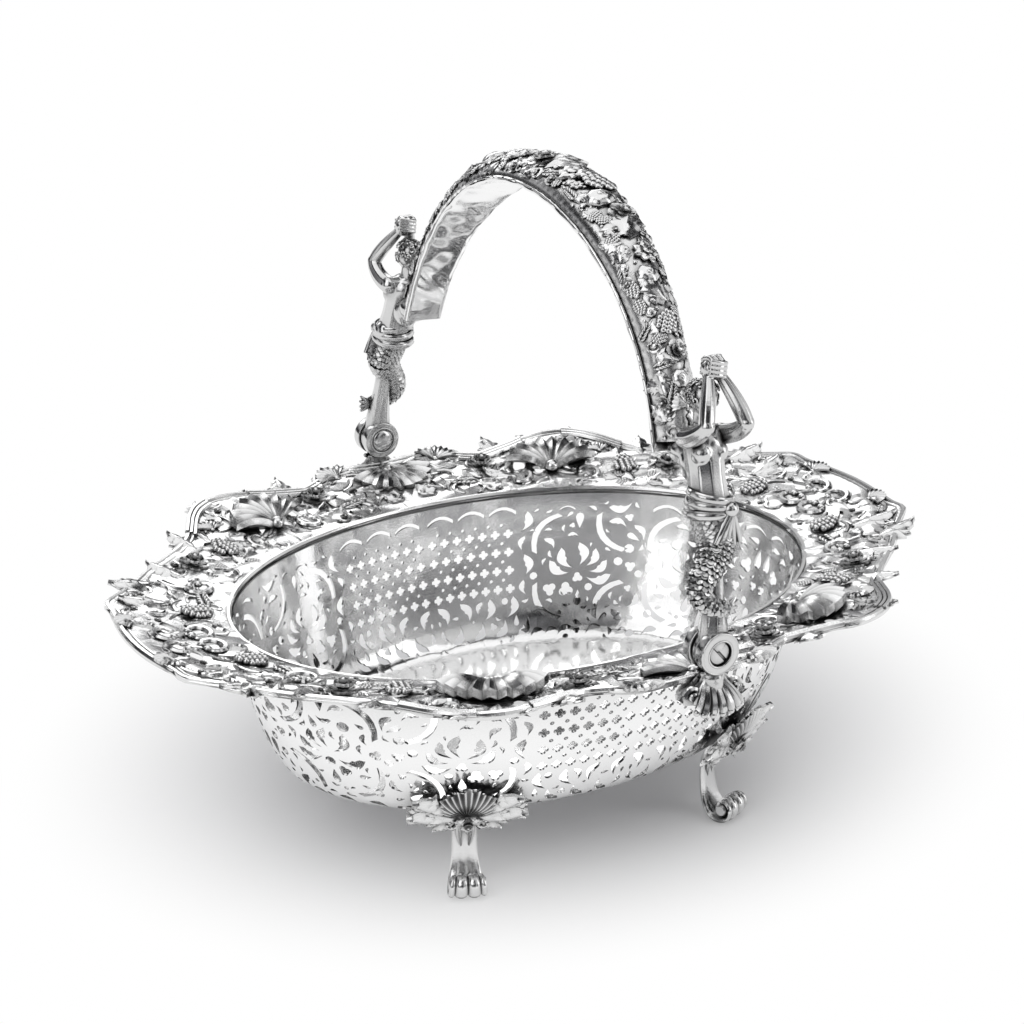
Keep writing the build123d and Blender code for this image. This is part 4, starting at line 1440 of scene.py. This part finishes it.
# %% Three kinds of silver
def silver(name, bright, rough, stipple, crevice, reach, dark):
    """Bright metal with fine wear, a matted ground, and painted shade from ambient occlusion darkening its crevices."""
    material, shader, at = new_material(name)
    shader.inputs["Metallic"].default_value = 1.0
    wear = at.node("TexNoise", Vector=at, Scale=140.0, Detail=4.0, Roughness=0.6)
    scratch = at.node("TexNoise", Vector=at.node("Mapping", Vector=at, Rotation=(0.3, 0.5, 0.9), Scale=(1, 14, 3)),
                      Scale=260.0, Detail=2.0)
    grain = at.node("TexNoise", Vector=at, Scale=1500.0, Detail=2.0)
    open_sky = at.node("AmbientOcclusion", {"samples": 8}, output="AO", Distance=reach * MM)
    # Painted shade: the less open sky the ambient occlusion finds, the more the base colour turns to the dark tone.
    painted_crevice_shade = ((1 - open_sky) * crevice).clamped()
    feed(at.node("Mix", {"data_type": "RGBA"}, output=2, s0=painted_crevice_shade, s6=(bright, bright, bright, 1), s7=(dark, dark, dark, 1)), shader, "Base Color")
    feed((rough + (wear - 0.5) * 0.10 + painted_crevice_shade * 0.25).clamped(), shader, "Roughness")
    height = scratch * 0.25 + grain * stipple + wear * 0.6
    feed(at.node("Bump", Strength=0.18, Distance=0.00025, Height=height), shader, "Normal")
    return material


def paint(material, test):
    count = 0
    for piece in bpy.data.objects:
        if piece.type == "MESH" and test(piece.name) and not piece.hide_render:
            piece.data.materials.clear()
            piece.data.materials.append(material)
            count += 1
    return count


# The last three arguments set the painted shade: its strength, the reach of the ambient occlusion and its dark tone. On
# the bowl it reaches 45 mm, so the painted shade spreads far beyond the crevices, over whole stretches of the bowl's
# wall.
polished = silver("polished_silver", 0.90, 0.06, 0.1, 1.2, 5.0, 0.25)
cast = silver("cast_silver", 0.76, 0.17, 1.0, 1.7, 3.2, 0.11)
softer = silver("figure_silver", 0.66, 0.16, 0.5, 1.6, 5.0, 0.08)
sheet = silver("bowl_silver", 0.93, 0.08, 0.1, 1.15, 45.0, 0.18)
FIGURE_WORDS = ("mermaid", "arms", "tail", "screw", "lug", "figure")
POLISHED_WORDS = ("polished_lining", "rim_wire", "handle_liner")
paint(cast, lambda name: True)
print("figures:", paint(softer, lambda name: any(word in name for word in FIGURE_WORDS)),
      "polished:", paint(polished, lambda name: any(word in name for word in POLISHED_WORDS)),
      "bowl:", paint(sheet, lambda name: "bowl" in name))

# %% [markdown]
# The photo is a studio shot on white. The floor shades softly under the bowl and fades into
# pure white, and the surroundings that the silver mirrors are white with dark strips, which is
# what gives polished silver its black lines.

# %% Floor and surroundings
bpy.ops.mesh.primitive_plane_add(size=6)
floor = take_active("floor")
ground_stuff, shader, at = new_material("floor_paper")
shader.inputs["Base Color"].default_value = (0.93, 0.93, 0.94, 1)
shader.inputs["Roughness"].default_value = 0.9
shader.inputs["Specular IOR Level"].default_value = 0.1
far = at.node("VectorMath", {"operation": "LENGTH"}, output="Value", s0=at.node("Mapping", Vector=at, Location=(-0.032, -0.06, 0), Scale=(0.85, 1, 0)))
fade = ((far - 0.09) / 0.13).clamped()
white = at.node("Emission", Color=(1, 1, 1, 1), Strength=1.0)
paper = Socket(at.tree, shader.outputs[0])
mixed = at.node("MixShader", s0=fade * fade * (3 - 2 * fade), s1=paper, s2=white)
at.tree.links.new(mixed.out, at.tree.nodes["Material Output"].inputs["Surface"])
floor.data.materials.append(ground_stuff)

world = bpy.data.worlds.new("studio")
bpy.context.scene.world = world
world.use_nodes = True
tree = world.node_tree
way = Socket(tree, tree.nodes.new("ShaderNodeTexCoord").outputs["Generated"])
parts = tree.nodes.new("ShaderNodeSeparateXYZ")
tree.links.new(way.out, parts.inputs[0])
x, y, z = (Socket(tree, parts.outputs[k]) for k in range(3))
patches = way.node("TexNoise", Vector=way, Scale=1.7, Detail=1.0, Roughness=0.4)
strips = way.node("ValToRGB", Fac=patches)
stops = strips.out.node.color_ramp.elements
stops[0].position, stops[0].color = 0.42, (0.02, 0.02, 0.022, 1)
stops[1].position, stops[1].color = 0.66, (1, 1, 1, 1)
middle = strips.out.node.color_ramp.elements.new(0.50)
middle.color = (0.26, 0.26, 0.27, 1)
top_light = ((z - 0.1) / 0.8).clamped()
glow = top_light * -0.22 + 0.88
mirrored_room = way.node("Background", Color=strips, Strength=glow)
seen_white = way.node("Background", Color=(1, 1, 1, 1), Strength=1.0)
seen = way.node("LightPath", output="Is Camera Ray")
sky = way.node("MixShader", s0=seen, s1=mirrored_room, s2=seen_white)
tree.links.new(sky.out, tree.nodes["World Output"].inputs["Surface"])
bpy.context.scene.view_settings.view_transform = "Standard"
print("studio:", len(tree.nodes), "world nodes")


# %% Soft boxes
def soft_box(name, place, size, power):
    lamp = bpy.data.lights.new(name, "AREA")
    lamp.energy, lamp.shape, lamp.size, lamp.size_y = power, "RECTANGLE", *size
    made = bpy.data.objects.new(name, lamp)
    bpy.context.collection.objects.link(made)
    made.location = place
    made.rotation_euler = (Vector((0, 0, 0.1)) - Vector(place)).to_track_quat("-Z", "Y").to_euler()
    return made


soft_box("soft_box_left", (-1.1, -0.5, 0.9), (1.0, 1.4), 5.5)
soft_box("soft_box_top", (0.1, 0.1, 1.4), (1.6, 1.6), 9)
soft_box("soft_box_right", (0.9, -0.8, 0.7), (0.4, 1.4), 2.2)
soft_box("soft_box_back", (0.2, 1.1, 0.8), (1.2, 0.5), 2.8)

# %% [markdown]
# The camera stands where the photographer stood: about a metre away, thirty degrees round from
# the front and a little above, found from the rim, the hinges and the feet in the photo.

# %% Camera
lens = bpy.data.cameras.new("camera")
lens.lens = 80.75
camera = bpy.data.objects.new("camera", lens)
bpy.context.collection.objects.link(camera)
camera.location = (-0.4867, -0.8160, 0.5171)
camera.rotation_euler = Vector((0.4715, 0.8015, -0.368)).to_track_quat("-Z", "Y").to_euler()
bpy.context.scene.camera = camera
